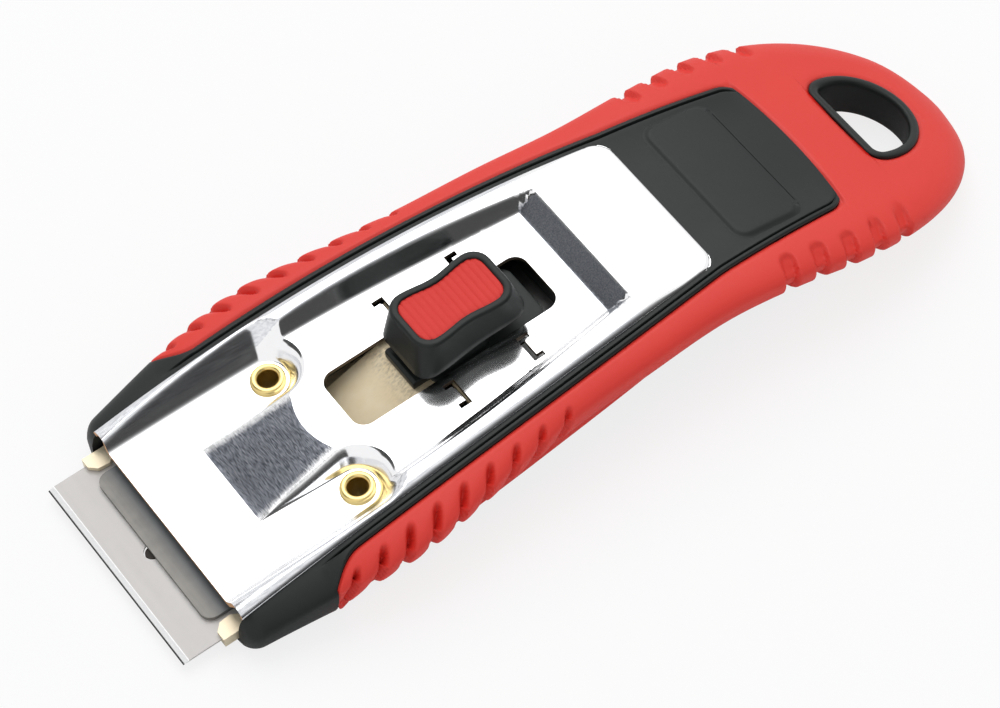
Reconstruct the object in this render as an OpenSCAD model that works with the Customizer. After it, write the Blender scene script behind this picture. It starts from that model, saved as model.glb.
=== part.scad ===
// Razor blade scraper with an arched two-material handle, a pressed steel cover,
// a blade carriage that slides along the nose, and a thumb knob on a spring arm.
// X runs from the blade (minus) to the tail (plus), Y is across, Z is up.
// The tool lies on its underside, with the blade in its working position.
// The track of the carriage rises towards the tail, so its pieces are drawn flat
// in the track's own frame, where x is the distance behind the nose and z is 0
// on top of the cover's deck, and on_track() tilts them into place.

/* [Handle] */
// Length of the black panel behind the cover
label_l = 26.8; // [24:0.1:29]
// Length of the soft tail behind the panel
tail_l = 31.2; // [29:0.1:34]
// Width over the finger grooves
belly_w = 57.2; // [55:0.2:61]
// Width of the nose cheeks at their front
nose_w = 48.8; // [47.6:0.2:51]
// Width at the waist
waist_w = 45.8; // [44.6:0.2:48]
// Width over the rear ribs
heel_w = 49; // [46.5:0.2:51]
// Height of the crown above the table
crown_z = 19.5; // [19:0.1:21]
// Height of the back at the nose
nose_z = 7.36; // [7.2:0.01:8]
// Height of the back at the tail
tail_z = 5.47; // [5:0.01:6.5]
// Height of the hollow underside above the table
hollow_z = 8.4; // [7:0.1:9]
// Height of the soft grip's sides above their widest line
side_up = 2.4; // [1.8:0.1:3]
// Height of the soft grip's sides below their widest line
side_down = 5; // [4:0.1:5.6]
// Depth of the finger grooves
groove_d = 1.4; // [0.6:0.1:1.6]
// Pitch of the finger grooves
groove_pitch = 5.1; // [4.6:0.1:5.6]
// Number of finger grooves on each side
groove_n = 9; // [6:1:10]
// Depth of the notches between the rear ribs
rib_d = 0.9; // [0.3:0.1:1.2]
// Pitch of the rear ribs
rib_pitch = 5.8; // [5:0.1:6.2]
// Number of notches between the rear ribs on each side
rib_n = 5; // [3:1:6]

/* [Hang hole] */
// Width of the hang hole across the tail
hang_w = 16.8; // [14:0.2:19]
// Length of the hang hole along the tail
hang_l = 11; // [9:0.2:12]
// Wall of the black ring round the hang hole
hang_ring_t = 1.7; // [1.2:0.1:2.2]
// Material left behind the ring at the end of the tail
hang_back = 7; // [5:0.2:10]
// Height of the ring
hang_h = 8; // [7:0.1:9]

/* [Cover] */
// Width of the steel cover at the nose
cover_nose_w = 42.4; // [41.8:0.2:43]
// Width of the steel cover at its rear end
cover_tail_w = 30.4; // [29:0.2:33]
// Length of the steel cover
cover_l = 93.3; // [90:0.1:96]
// Thickness of the cover's sheet
sheet_t = 0.8; // [0.6:0.05:0.9]
// Height of the cover's beads above the handle's back
bead_up = 0.9; // [0.8:0.05:1.2]
// Depth of the low front pan below the deck
pan_drop = 3.1; // [2.8:0.1:3.3]
// Width of the knob's slot
slot_w = 11.9; // [11.5:0.1:12.5]
// Radius of the slot's corners
slot_r = 2.4; // [1.5:0.1:3]
// Distance between the two eyelets
eyelet_span = 25.1; // [24.8:0.1:26.6]

/* [Track] */
// Rise of the carriage's track towards the tail, in degrees
slope = 6; // [5.6:0.1:6.4]
// Height of the deck's plane at the nose
deck_z = 10.03; // [10:0.01:10.4]
// Depth of the base plate's top below the deck
track_d = 8.2; // [8.1:0.05:8.4]
// Thickness of the base plate
base_t = 0.8; // [0.6:0.05:0.9]
// Thickness of the handle's floor under the base plate
floor_t = 1.2; // [1.2:0.05:1.5]
// Travel of the carriage each way from its working position
travel = 11; // [8:0.1:11]

/* [Blade and carriage] */
// Width of the blade
blade_w = 39; // [38:0.1:39.2]
// Depth of the blade from edge to back
blade_d = 19; // [18:0.1:19.4]
// Thickness of the blade
blade_t = 0.4; // [0.25:0.05:0.5]
// Reach of the blade's edge out of the nose
blade_out = 10; // [9:0.1:10.6]
// Width of the blade's ground bevel
bevel_l = 1; // [0.6:0.1:1.4]
// Diameter of the hole in the blade
blade_hole_d = 3; // [2.6:0.1:3.4]
// Thickness of the carrier plate
carrier_t = 0.8; // [0.7:0.05:0.9]
// Thickness of the clamping leaf
leaf_t = 0.8; // [0.5:0.05:0.9]
// Step from each side of the blade to the clamping leaf
leaf_in = 3.3; // [3.1:0.1:3.8]

/* [Knob and spring arm] */
// Length of the thumb knob
knob_l = 18.7; // [17.5:0.1:19.5]
// Width of the thumb knob at its ends
knob_w = 11.9; // [11:0.1:12.5]
// Width of the thumb knob at its waist
knob_waist = 10; // [9:0.1:10.6]
// Height of the thumb knob's top above the deck
knob_h = 9.1; // [8.5:0.1:10]
// Swing of the spring arm when the knob is pressed, in degrees
press_deg = 3; // [2:0.1:3.2]
// Thickness of the spring arm
arm_t = 0.8; // [0.6:0.05:0.9]
// Number of ribs on the knob's soft pad
pad_ribs = 14; // [10:1:16]

/* [Hidden] */

// One overrun serves all cuts
cut = 0.5;
// Running gap under the carriage
run_gap = 0.15;
// Running gap beside the carriage
side_gap = 0.3;
// Gap between pieces that only rest on each other
seat_gap = 0.05;
// Gap round a pin, rivet or screw in its hole
pin_gap = 0.05;
// Plate steps that need no size of their own
far = 60;

// Levels in the track's frame
pan_h = -pan_drop;
base_top = -track_d;
base_bottom = base_top - base_t;
floor_bottom = base_bottom - floor_t;
carrier_bottom = base_top + run_gap;
carrier_top = carrier_bottom + carrier_t;
blade_top = carrier_top + blade_t;
leaf_top = blade_top + leaf_t;

// Lengths along the handle, and the places that keep their share of them
cover_front_s = 0.7;
body_l = cover_front_s + cover_l + label_l + tail_l;
crown_share = 0.579;
crown_s = crown_share * body_l;
hollow_share = 0.612;
hollow_s = hollow_share * body_l;
foot_l = 7;
recess_share = 0.804;
recess_l = recess_share * cover_l;
slot_start_share = 0.3494;
slot_s = slot_start_share * cover_l;
slot_share = 0.4094;
slot_l = slot_share * cover_l;
eyelet_lead = 5.2;
eyelet_s = slot_s - eyelet_lead;

// Radii of the arched back and of the hollow underside, from their heights
function arc_r(l, d) = (l * l + d * d) / (2 * d);
arch_front_r = arc_r(crown_s, crown_z - nose_z);
arch_rear_r = arc_r(body_l - crown_s, crown_z - tail_z);
hollow_r = arc_r(body_l - foot_l - hollow_s, hollow_z);

// Overall length, from the blade's edge to the tail
edge_dx = -blade_out * cos(slope) - carrier_top * sin(slope);
tool_l = body_l - edge_dx;
nose_x = -tool_l / 2 - edge_dx;

// Stations along the handle, as distances behind the nose
rim_w = 1.9;
cover_end_s = cover_front_s + cover_l;
label_end_s = cover_end_s + label_l;
label_tail_w = 30.4;
label_corner_r = 4.4;
label_bulge = 1.4;
cheek_end_s = 14.6;
cheek_curve_l = 6.4;
heel_share = 0.757;
heel_s = heel_share * body_l;
nose_corner = 2.6;
tail_round = 5;

// Shares of the body's length at which its half width is set, and the share of
// the swell from waist to belly, or from waist to heel, that it has there
belly_s_shares = [0, 0.086, 0.158, 0.21, 0.303, 0.395, 0.493, 0.592];
belly_swell_shares = [0.5, 0.63, 0.95, 1, 0.67, 0.35, 0.175, 0];
heel_s_share = 0.678;
heel_swell_share = 0.38;
// Exponents of the tail's round and of the cover's taper are plain counts
tail_power = 2.2;
taper_power = 2.2;

function sq(v) = v * v;
function arc_drop(d, r) = r - sqrt(sq(r) - sq(d));
function mix(a, b, t) = a + (b - a) * t;
function clamp01(t) = min(1, max(0, t));
function smooth(t) = sq(clamp01(t)) * (3 - 2 * clamp01(t));

// Height of the handle's back above the table
function back_z(s) = crown_z - (s < crown_s ? arc_drop(crown_s - s, arch_front_r)
                                            : arc_drop(s - crown_s, arch_rear_r));
// Height of a plane of the track's frame above the table
function track_z(s, h) = deck_z + s * tan(slope) + h / cos(slope);
// Height of the underside
function belly_z(s) = min(track_z(s, floor_bottom),
                          hollow_z - (s > hollow_s ? arc_drop(s - hollow_s, hollow_r) : 0));

// Smooth curve through knots [place, value]
function knot_slope(k, i) = let (a = max(i - 1, 0), b = min(i + 1, len(k) - 1))
    (k[b][1] - k[a][1]) / (k[b][0] - k[a][0]);
function knot_seg(k, s) = max([for (i = [0 : len(k) - 2]) if (s >= k[i][0] || i == 0) i]);
function curve(k, s) = let (i = knot_seg(k, s), d = k[i + 1][0] - k[i][0],
                            t = clamp01((s - k[i][0]) / d))
    (2 * sq(t) * t - 3 * sq(t) + 1) * k[i][1] + (sq(t) * t - 2 * sq(t) + t) * d * knot_slope(k, i)
    + (3 * sq(t) - 2 * sq(t) * t) * k[i + 1][1] + (sq(t) * t - sq(t)) * d * knot_slope(k, i + 1);

nose_knots = [[0, nose_w / 2], [belly_s_shares[1] * body_l,
              mix(waist_w, belly_w, belly_swell_shares[1]) / 2]];
side_knots = concat(nose_knots,
    [for (i = [2 : len(belly_s_shares) - 1])
        [belly_s_shares[i] * body_l, mix(waist_w, belly_w, belly_swell_shares[i]) / 2]],
    [[heel_s_share * body_l, mix(waist_w, heel_w, heel_swell_share) / 2], [heel_s, heel_w / 2]]);

// Half width of the whole handle
function tail_w(s) = let (u = clamp01((s - heel_s) / (body_l - heel_s)))
    heel_w / 2 * pow(1 - pow(u, tail_power), 1 / tail_power);
function side_w(s) = s > heel_s ? tail_w(s) : curve(side_knots, s);

// Half width of the cover, and of the black core inside the grip
function cover_w(s) = cover_nose_w / 2
    - (cover_nose_w - cover_tail_w) / 2 * pow(max(s, 0) / cover_end_s, taper_power);
function core_w(s) = s < cover_end_s ? cover_w(s) + rim_w
    : mix(cover_tail_w / 2 + rim_w, label_tail_w / 2,
          (s - cover_end_s) / (label_end_s - cover_end_s));

// Finger grooves and rear notches, which lean towards the nose as they go down
groove_lead = 2.2;
groove_s = cheek_end_s + groove_lead;
groove_lean = 0.9;
groove_fade_share = 0.55;
rib_share = 0.678;
rib_s = rib_share * body_l;
rib_lean = 0.3;
function wave(t) = pow((1 - cos(360 * t)) / 2, 2);
function in_row(s, first, pitch, n) = (s > first - pitch / 2) && (s < first + (n - 0.5) * pitch);
function groove(s, z) = let (p = s - z * groove_lean)
    in_row(p, groove_s, groove_pitch, groove_n)
    ? groove_d * wave((p - groove_s) / groove_pitch + 0.5)
      * (1 - groove_fade_share * (p - groove_s) / (groove_n * groove_pitch)) : 0;
function notch(s, z) = let (p = s - z * rib_lean)
    in_row(p, rib_s, rib_pitch, rib_n) ? rib_d * wave((p - rib_s) / rib_pitch + 0.5) : 0;

// Half width of the space that the core takes up inside the grip, and of the hang ring
label_round_s = label_end_s - label_corner_r;
label_side_w = core_w(label_round_s);
function label_corner_w(s) = label_side_w - arc_drop(max(s - label_round_s, 0), label_corner_r);
function label_bulge_w(s) = label_side_w * sqrt(clamp01((label_end_s - s) / label_bulge));
function inner_w(s) = s < cheek_end_s + cheek_curve_l
    ? mix(side_w(cheek_end_s) - grip_lip, core_w(cheek_end_s + cheek_curve_l),
          sin(90 * clamp01((s - cheek_end_s) / cheek_curve_l)))
    : s < label_round_s ? core_w(s)
    : s < label_end_s ? min(label_corner_w(s), label_bulge_w(s)) : 0;
hang_r = hang_w / 2 + hang_ring_t;
hang_mid_s = body_l - hang_back - hang_ring_t - hang_w / 2;
hang_s = body_l - hang_back - hang_ring_t - hang_l;
hang_s0 = hang_s - hang_ring_t;
hang_s1 = hang_mid_s + hang_r;
function hang_w_at(s) = sqrt(max(sq(hang_r + seat_gap) - sq(s - hang_mid_s), 0));

// Cross-section of one half of the grip at a station, round from the inner edge
// of its back to the inner edge of its underside: [y, z] pairs
grip_lip = 0.6;
up_steps = 5;
down_steps = 4;
grip_in = 6;
wing_in = 6.5;
belly_in = 11;
top_share = 0.85;
wing_share = 0.7;
belly_share = 0.15;
function end_in(s) = s > body_l - tail_round ? arc_drop(s - body_l + tail_round, tail_round) / 2 : 0;
function section(s, inner) = let (
        w = max(side_w(s), inner + thin), g = w - inner, top = back_z(s) - end_in(s),
        low = max(0, belly_z(s)), mid = max(back_z(s) - side_up, low + 2 * thin),
        up = min(side_up, top - mid), down = min(side_down, mid - low),
        in_top = min(grip_in, top_share * g), in_low = min(wing_in, wing_share * g))
    concat([[inner, top], [w - in_top, top]],
        [for (i = [1 : up_steps]) let (a = 90 * i / up_steps, z = up * cos(a))
            [w - in_top * (1 - sin(a)) - (groove(s, z) + notch(s, z)) * sin(a), mid + z]],
        [for (i = [1 : down_steps]) let (a = 90 * i / down_steps, z = -down * sin(a))
            [w - in_low * (1 - cos(a)) - (groove(s, z) + notch(s, z)) * cos(a), mid + z]],
        [[max(w - belly_in, inner + belly_share * g), low], [inner, low]]);

// Stations of the grip, close together where the grooves are
fine_step = 1.1;
coarse_step = 4;
thin = 0.3;
tail_steps = 9;
groove_end_s = groove_s + groove_n * groove_pitch;
rib_end_s = rib_s + rib_n * rib_pitch;
label_steps = 6;
hang_steps = 12;
hang_wall_lean = 0.03;
grip_start_s = cheek_end_s + seat_gap;
grip_stations = concat(
    [for (s = [grip_start_s : fine_step : groove_end_s]) s],
    [for (s = [groove_end_s + fine_step : coarse_step : rib_s - rib_pitch]) s],
    [for (s = [rib_s - rib_pitch / 2 : fine_step : label_round_s - fine_step / 2]) s],
    [for (i = [0 : label_steps]) mix(label_round_s, label_end_s, sin(90 * i / label_steps))],
    [for (s = [label_end_s + fine_step : fine_step : hang_s0 - fine_step / 2]) s],
    [hang_s0 - hang_wall_lean],
    [for (i = [0 : hang_steps]) mix(hang_s0, hang_s1 + seat_gap, sin(90 * i / hang_steps))],
    [for (i = [1 : tail_steps]) mix(hang_s1 + seat_gap, body_l, sin(90 * i / tail_steps))]);
function grip_inner(s) = s < label_end_s ? inner_w(s)
    : s > hang_s0 - hang_wall_lean / 2 && s < hang_s1 + seat_gap ? hang_w_at(s) : 0;

// The grip as one closed skin: a left and a right half at each station, each with an
// inner wall where the core or the hang hole stands between the halves
function flip(list) = [for (i = [len(list) - 1 : -1 : 0]) list[i]];
module grip_skin() {
    inner = [for (s = grip_stations) grip_inner(s)];
    halves = [for (i = [0 : len(grip_stations) - 1]) section(grip_stations[i], inner[i])];
    n = len(halves[0]);
    last = len(halves) - 1;
    points = [for (i = [0 : last], m = [1, -1], p = halves[i]) [nose_x + grip_stations[i], m * p[0], p[1]]];
    function at(i, side, k) = (2 * i + side) * n + k % n;
    skins = [for (i = [0 : last - 1], k = [0 : n - 1])
        if (k < n - 1 || inner[i] + inner[i + 1] > 0)
        each [[at(i, 0, k), at(i, 0, k + 1), at(i + 1, 0, k + 1)], [at(i, 0, k), at(i + 1, 0, k + 1), at(i + 1, 0, k)],
              [at(i, 1, k), at(i + 1, 1, k + 1), at(i, 1, k + 1)], [at(i, 1, k), at(i + 1, 1, k), at(i + 1, 1, k + 1)]]];
    caps = [[for (k = [n - 1 : -1 : 0]) at(0, 0, k)], [for (k = [0 : n - 1]) at(0, 1, k)],
            concat([for (k = [0 : n - 1]) at(last, 0, k)], [for (k = [n - 2 : -1 : 1]) at(last, 1, k)])];
    polyhedron(points, concat(skins, caps), convexity = 8);
}

// Tilts what is drawn in the track's frame into place
module on_track() {
    translate([nose_x, 0, deck_z]) rotate([0, -slope, 0]) children();
}
// Prism of a plan outline drawn in stations, over the whole height
module plan_prism(z0, z1) {
    translate([nose_x, 0, z0]) linear_extrude(z1 - z0) children();
}
function mirrored(side) = concat(side, [for (p = flip(side)) [p[0], -p[1]]]);

// Plan of the black core: the full nose, then a strip beside the cover and the label panel
core_step = 5;
module core_plan() {
    side = concat(
        [for (a = [0 : 15 : 90]) [nose_corner * (1 - cos(a)), nose_w / 2 - nose_corner * (1 - sin(a))]],
        [for (i = [1 : 4]) let (s = mix(nose_corner, cheek_end_s, i / 4)) [s, side_w(s)]],
        [for (i = [0 : 4]) let (s = cheek_end_s + cheek_curve_l * i / 4) [s, inner_w(s) - seat_gap]],
        [for (s = [cheek_end_s + cheek_curve_l + core_step : core_step : label_round_s]) [s, core_w(s) - seat_gap]],
        [for (i = [0 : label_steps - 1]) let (s = mix(label_round_s, label_end_s - seat_gap, sin(90 * i / label_steps)))
            [s - seat_gap, inner_w(s)]]);
    polygon(mirrored(side));
}

// Hang hole: the D's round side faces the tail, its straight side the core
module hang_plan(grow) {
    translate([hang_mid_s, 0]) intersection() {
        circle(hang_w / 2 + grow, $fn = 96);
        translate([hang_w / 2 - hang_l - grow, -far]) square([far, 2 * far]);
    }
}

// Space for the works, cut down into the core from above
lug_t = 0.8;
leaf_w = blade_w - 2 * leaf_in;
works_w = blade_w + 2 * lug_t + 4 * side_gap;
back_gap = 1;
deep_l = blade_d - blade_out + travel + back_gap;
strip_w = 5;
strip_in = eyelet_span / 2 - strip_w / 2 - seat_gap;
strip_out = strip_in + strip_w;
strip_gap = 0.6;
strip_s = deep_l + strip_gap;
strip_share = 0.6;
strip_l = strip_share * recess_l;
shelf_gap = 0.4;
shelf_h = -pan_drop - sheet_t - shelf_gap;
shelf_in = 1.2;
base_rest = 6;
base_l = strip_s + strip_l + base_rest;
module works_space() {
    on_track() {
        translate([-far, -works_w / 2, base_bottom]) cube([far + deep_l, works_w, far]);
        translate([deep_l - cut, -strip_out - side_gap, base_bottom])
            cube([base_l - deep_l + cut + seat_gap, 2 * (strip_out + side_gap), far]);
    }
    intersection() {
        on_track() translate([-far, -far, shelf_h]) cube([far + body_l, 2 * far, far]);
        plan_prism(-cut, far) shelf_plan();
    }
}
module shelf_plan() {
    end_s = recess_end_s + rear_wall_l + shelf_gap;
    side = concat([[-far, cover_w(0) - shelf_in]],
        [for (s = [0 : core_step : end_s]) [s, cover_w(s) - shelf_in]], [[end_s, cover_w(end_s) - shelf_in]]);
    polygon(mirrored(side));
}

// Places of the pieces that hold the works together, in the track's frame
eyelet_y = eyelet_span / 2;
eyelet_flange_d = 5.8;
eyelet_bore_d = 3.4;
eyelet_wall = 0.35;
eyelet_od = eyelet_bore_d + 2 * eyelet_wall;
eyelet_lip_t = 0.75;
washer_d = 7;
washer_t = 0.45;
clinch_t = 0.45;
screw_d = 2.2;
screw_head_d = 4.4;
screw_head_t = 1;
screw_slot_w = 0.6;
screw_s = strip_s + strip_l - strip_w;
screw_y = (strip_in + strip_out) / 2;
module both_sides() {
    children();
    mirror([0, 1, 0]) children();
}
module at_eyelets() {
    both_sides() translate([eyelet_s, eyelet_y, 0]) children();
}
module at_floor_screws() {
    both_sides() translate([screw_s, screw_y, 0]) children();
}

// Side profile of the core, extruded across the tool
profile_n = 24;
module side_prism() {
    back = [for (i = [1 : profile_n]) let (s = i / profile_n * (label_end_s + cut)) [s, back_z(s)]];
    low = [for (i = [profile_n : -1 : 0]) let (s = i / profile_n * (label_end_s + cut)) [s, belly_z(s)]];
    translate([nose_x, far, 0]) rotate([90, 0, 0]) linear_extrude(2 * far)
        polygon(concat([[0, back_z(0) - nose_chamfer], [nose_chamfer, back_z(nose_chamfer)]], back, low));
}
nose_chamfer = 1;

// Black core of the handle
cover_tab_w = 14;
cover_tab_l = 3;
core_color = [0.16, 0.17, 0.17];
module handle_core() {
    color(core_color) difference() {
        intersection() {
            plan_prism(0, far) core_plan();
            side_prism();
        }
        works_space();
        on_track() {
            at_eyelets() translate([0, 0, floor_bottom - far])
                cylinder(d = washer_d + 2 * side_gap, h = far + floor_t + seat_gap, $fn = 48);
            at_floor_screws() {
                translate([0, 0, floor_bottom - far]) cylinder(d = screw_d + 2 * pin_gap, h = 2 * far, $fn = 32);
                translate([0, 0, floor_bottom - far]) cylinder(d = screw_head_d + 2 * pin_gap, h = far + screw_head_t, $fn = 32);
            }
        }
        cover_tab(side_gap);
    }
}

// Tab at the cover's rear end, which hooks under the label panel
tab_step_s = 2.6;
module cover_tab(grow) {
    tab_z = back_z(cover_end_s) - 2 * sheet_t;
    translate([nose_x + cover_end_s - tab_step_s - grow, -cover_tab_w / 2 - grow, tab_z - grow]) {
        cube([sheet_t + 2 * grow, cover_tab_w + 2 * grow, 2 * sheet_t + bead_up - sheet_t / 2 + grow]);
        cube([tab_step_s + cover_tab_l + 2 * grow, cover_tab_w + 2 * grow, sheet_t + 2 * grow]);
    }
}

// Soft red grip round the core, in one piece with the tail
grip_color = [0.84, 0.2, 0.16];
module soft_grip() {
    color(grip_color) resize([body_l - grip_start_s, 0, 0]) grip_skin();
}

// Black ring lining the hang hole
module hang_ring() {
    mid_s = hang_s + hang_l / 2;
    lean = atan((back_z(hang_s + hang_l) - back_z(hang_s)) / hang_l);
    color(core_color) intersection() {
        plan_prism(-cut, far) difference() {
            hang_plan(hang_ring_t);
            hang_plan(0);
        }
        translate([nose_x + mid_s, 0, back_z(mid_s) + seat_gap]) rotate([0, -lean, 0])
            translate([-hang_l, -hang_w, -hang_h]) cube([2 * hang_l, 2 * hang_w, hang_h]);
        translate([nose_x, -far, 0]) cube([body_l, 2 * far, far]);
    }
}

// Pressed cover: beads and a rear land on the arch, round a sunk deck and a lower pan
function arch_cyl_z() = crown_z - arch_front_r;
module arch_solid(up) {
    translate([nose_x + crown_s, 0, arch_cyl_z()]) rotate([90, 0, 0])
        cylinder(r = arch_front_r + up, h = 2 * far, center = true, $fn = 900);
}
cover_corner_r = 3;
module cover_plan() {
    round_s = cover_end_s - cover_corner_r;
    side = concat(
        [for (i = [0 : 12]) let (s = mix(cover_front_s, round_s, i / 12)) [s, cover_w(s)]],
        [for (a = [15 : 15 : 90]) [round_s + cover_corner_r * sin(a),
            cover_w(round_s) - cover_corner_r * (1 - cos(a))]]);
    polygon(mirrored(side));
}
recess_end_s = cover_front_s + recess_l;
rear_wall_l = 3.8;
wall_at = 2.7;
module recess_plan(inset, end_s) {
    side = [for (i = [0 : 12]) let (s = mix(-cut, end_s, i / 12)) [s, cover_w(s) - inset]];
    polygon(mirrored(side));
}
// Strip of plan that follows the cover's edge at one side
module edge_strip(s0, s1, inset, width) {
    n = 10;
    outer = [for (i = [0 : n]) let (s = mix(s0, s1, i / n)) [s, cover_w(s) - inset]];
    polygon(concat(outer, flip([for (p = outer) [p[0], p[1] - width]])));
}
// All that lies between a plane of the track and the top of the beads
module under_arch(h, up) {
    intersection() {
        on_track() translate([-far, -far, h]) cube([body_l + 2 * far, 2 * far, far]);
        arch_solid(up);
    }
}
// Upright wall of the recess at one side, from a plane of the track up to the bead
module recess_wall(s0, s1, h) {
    intersection() {
        plan_prism(-cut, far) edge_strip(s0, s1, wall_at, sheet_t);
        under_arch(h - sheet_t, bead_up);
    }
}
module bead() {
    intersection() {
        plan_prism(-cut, far) edge_strip(cover_front_s, cover_end_s - cover_corner_r, 0, wall_at + sheet_t / 2);
        difference() {
            arch_solid(bead_up);
            arch_solid(bead_up - sheet_t);
        }
    }
}
module rear_land() {
    intersection() {
        plan_prism(-cut, far) intersection() {
            cover_plan();
            translate([recess_end_s + rear_wall_l - 0.3, -far]) square([far, 2 * far]);
        }
        difference() {
            arch_solid(bead_up);
            arch_solid(bead_up - sheet_t);
        }
    }
}
// A sloping strip of sheet across the tool, as a side profile [[s, z], [s, z]]
module cross_strip(a, b, w) {
    translate([nose_x, w / 2, 0]) rotate([90, 0, 0]) linear_extrude(w)
        polygon([a, b, [b[0], b[1] + sheet_t], [a[0], a[1] + sheet_t]]);
}
module rear_wall() {
    end_s = recess_end_s + rear_wall_l;
    cross_strip([recess_end_s - 0.4, track_z(recess_end_s - 0.4, -sheet_t)],
                [end_s, back_z(end_s) + bead_up - sheet_t], 2 * (cover_w(end_s) - wall_at));
}
// Ramp from the pan up to the deck between the two eyelets
ramp_l = 13.9;
ramp_end_lead = 1.2;
ramp_end_s = eyelet_s - ramp_end_lead;
ramp_s = ramp_end_s - ramp_l;
ramp_w = 15;
pocket_r = 4.2;
module ramp() {
    translate([0, ramp_w / 2, 0]) rotate([90, 0, 0]) linear_extrude(ramp_w) polygon([
        [ramp_s, pan_h - sheet_t], [ramp_end_s, -sheet_t], [ramp_end_s + sheet_t, -sheet_t],
        [ramp_end_s + sheet_t, 0], [ramp_end_s, 0], [ramp_s - 0.5, pan_h - 0.1], [ramp_s - 0.5, pan_h - sheet_t]]);
    both_sides() translate([ramp_s, ramp_w / 2 - sheet_t, 0]) rotate([90, 0, 0]) mirror([0, 0, 1])
        linear_extrude(sheet_t) polygon([[0, pan_h - sheet_t], [ramp_end_s - ramp_s + sheet_t, pan_h - sheet_t],
            [ramp_end_s - ramp_s + sheet_t, 0], [ramp_end_s - ramp_s, 0]]);
}
// Plan of the deck: in front it ends at the ramp and at the round pockets of the eyelets
module deck_plan() {
    difference() {
        intersection() {
            recess_plan(wall_at + sheet_t / 2, recess_end_s);
            union() {
                translate([eyelet_s, -far]) square([far, 2 * far]);
                translate([ramp_end_s, -ramp_w / 2]) square([far, ramp_w]);
            }
        }
        for (m = [-1, 1]) translate([eyelet_s, m * eyelet_y]) circle(pocket_r, $fn = 64);
        translate([slot_s + slot_r, -slot_w / 2 + slot_r]) slot_2d(slot_l - 2 * slot_r, slot_w - 2 * slot_r);
        for (m = [-1, 1]) {
            bracket_cut(front_tab_s, m, 1);
            bracket_cut(rear_tab_s, m, -1);
        }
    }
}
module slot_2d(l, w) {
    for (x = [0, l], y = [0, w]) translate([x, y]) circle(slot_r, $fn = 48);
    translate([-slot_r, 0]) square([l + 2 * slot_r, w]);
    translate([0, -slot_r]) square([l, w + 2 * slot_r]);
}
// Bracket-shaped cuts that free a small tab: a stem, and two arms along the tool
tab_in = 7.3;
tab_w = 5.1;
tab_l = 2.1;
tab_cut = 0.8;
front_tab_share = 0.4084;
front_tab_s = slot_s + front_tab_share * slot_l;
rear_tab_share = 0.767;
rear_tab_s = slot_s + rear_tab_share * slot_l;
module bracket_cut(s, m, way) {
    mirror([0, m > 0 ? 0 : 1]) translate([s, tab_in]) mirror([way > 0 ? 0 : 1, 0]) {
        square([tab_cut, tab_w]);
        for (y = [0, tab_w - tab_cut]) translate([tab_cut - tab_l, y]) square([tab_l, tab_cut]);
    }
}
// Free end of each tab, turned down a little to keep the spring arm's ears in place
tab_down = 0.5;
module turned_tabs() {
    both_sides() for (e = [[front_tab_s, -1], [rear_tab_s, 1]])
        translate([e[0] + (e[1] > 0 ? seat_gap : -sheet_t - seat_gap), tab_in + tab_cut + seat_gap, -sheet_t - tab_down])
            cube([sheet_t, tab_w - 2 * tab_cut - 2 * seat_gap, tab_down + sheet_t / 2]);
}
module pan_plan() {
    difference() {
        intersection() {
            recess_plan(wall_at + sheet_t / 2, eyelet_s + pocket_r + sheet_t);
            union() {
                translate([cover_front_s, -far]) square([eyelet_s - cover_front_s, 2 * far]);
                for (m = [-1, 1]) translate([eyelet_s, m * eyelet_y]) circle(pocket_r + sheet_t / 2, $fn = 64);
            }
        }
        translate([ramp_s, -ramp_w / 2 + sheet_t / 2]) square([far, ramp_w - sheet_t]);
        for (m = [-1, 1]) translate([eyelet_s, m * eyelet_y])
            circle(eyelet_od / 2 + pin_gap, $fn = 48);
    }
}
// Round wall of each eyelet's pocket, from the pan up to the deck
module pocket_walls() {
    intersection() {
        both_sides() translate([eyelet_s, eyelet_y, pan_h - sheet_t]) difference() {
            cylinder(r = pocket_r + sheet_t, h = pan_drop + sheet_t, $fn = 64);
            translate([0, 0, -cut]) cylinder(r = pocket_r, h = pan_drop + sheet_t + 2 * cut, $fn = 64);
        }
        translate([eyelet_s, -far, pan_h - sheet_t]) cube([far, 2 * far, pan_drop + sheet_t]);
    }
}
steel_color = [0.78, 0.79, 0.8];
module cover_plate() {
    color(steel_color) union() {
        both_sides() {
            bead();
            recess_wall(cover_front_s, eyelet_s + sheet_t, pan_h);
            recess_wall(eyelet_s, recess_end_s + rear_wall_l, 0);
        }
        rear_land();
        rear_wall();
        on_track() {
            translate([0, 0, -sheet_t]) linear_extrude(sheet_t) deck_plan();
            translate([0, 0, pan_h - sheet_t]) linear_extrude(sheet_t) pan_plan();
            ramp();
            pocket_walls();
            turned_tabs();
        }
        cover_tab(0);
    }
}

// Steel base plate that the carriage runs on
module base_plate() {
    color([0.62, 0.63, 0.64]) on_track() difference() {
        translate([0, 0, base_bottom + seat_gap / 2]) linear_extrude(base_t - seat_gap) union() {
            translate([cover_front_s, -works_w / 2 + side_gap]) square([deep_l - cover_front_s - side_gap, works_w - 2 * side_gap]);
            translate([deep_l - 2 * back_gap, -strip_out]) square([base_l - deep_l + 2 * back_gap, 2 * strip_out]);
        }
        at_eyelets() translate([0, 0, base_bottom - cut]) cylinder(d = eyelet_od + 2 * pin_gap, h = base_t + 2 * cut, $fn = 48);
        at_floor_screws() translate([0, 0, base_bottom - cut]) cylinder(d = screw_d + 2 * pin_gap, h = base_t + 2 * cut, $fn = 32);
    }
}

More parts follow.
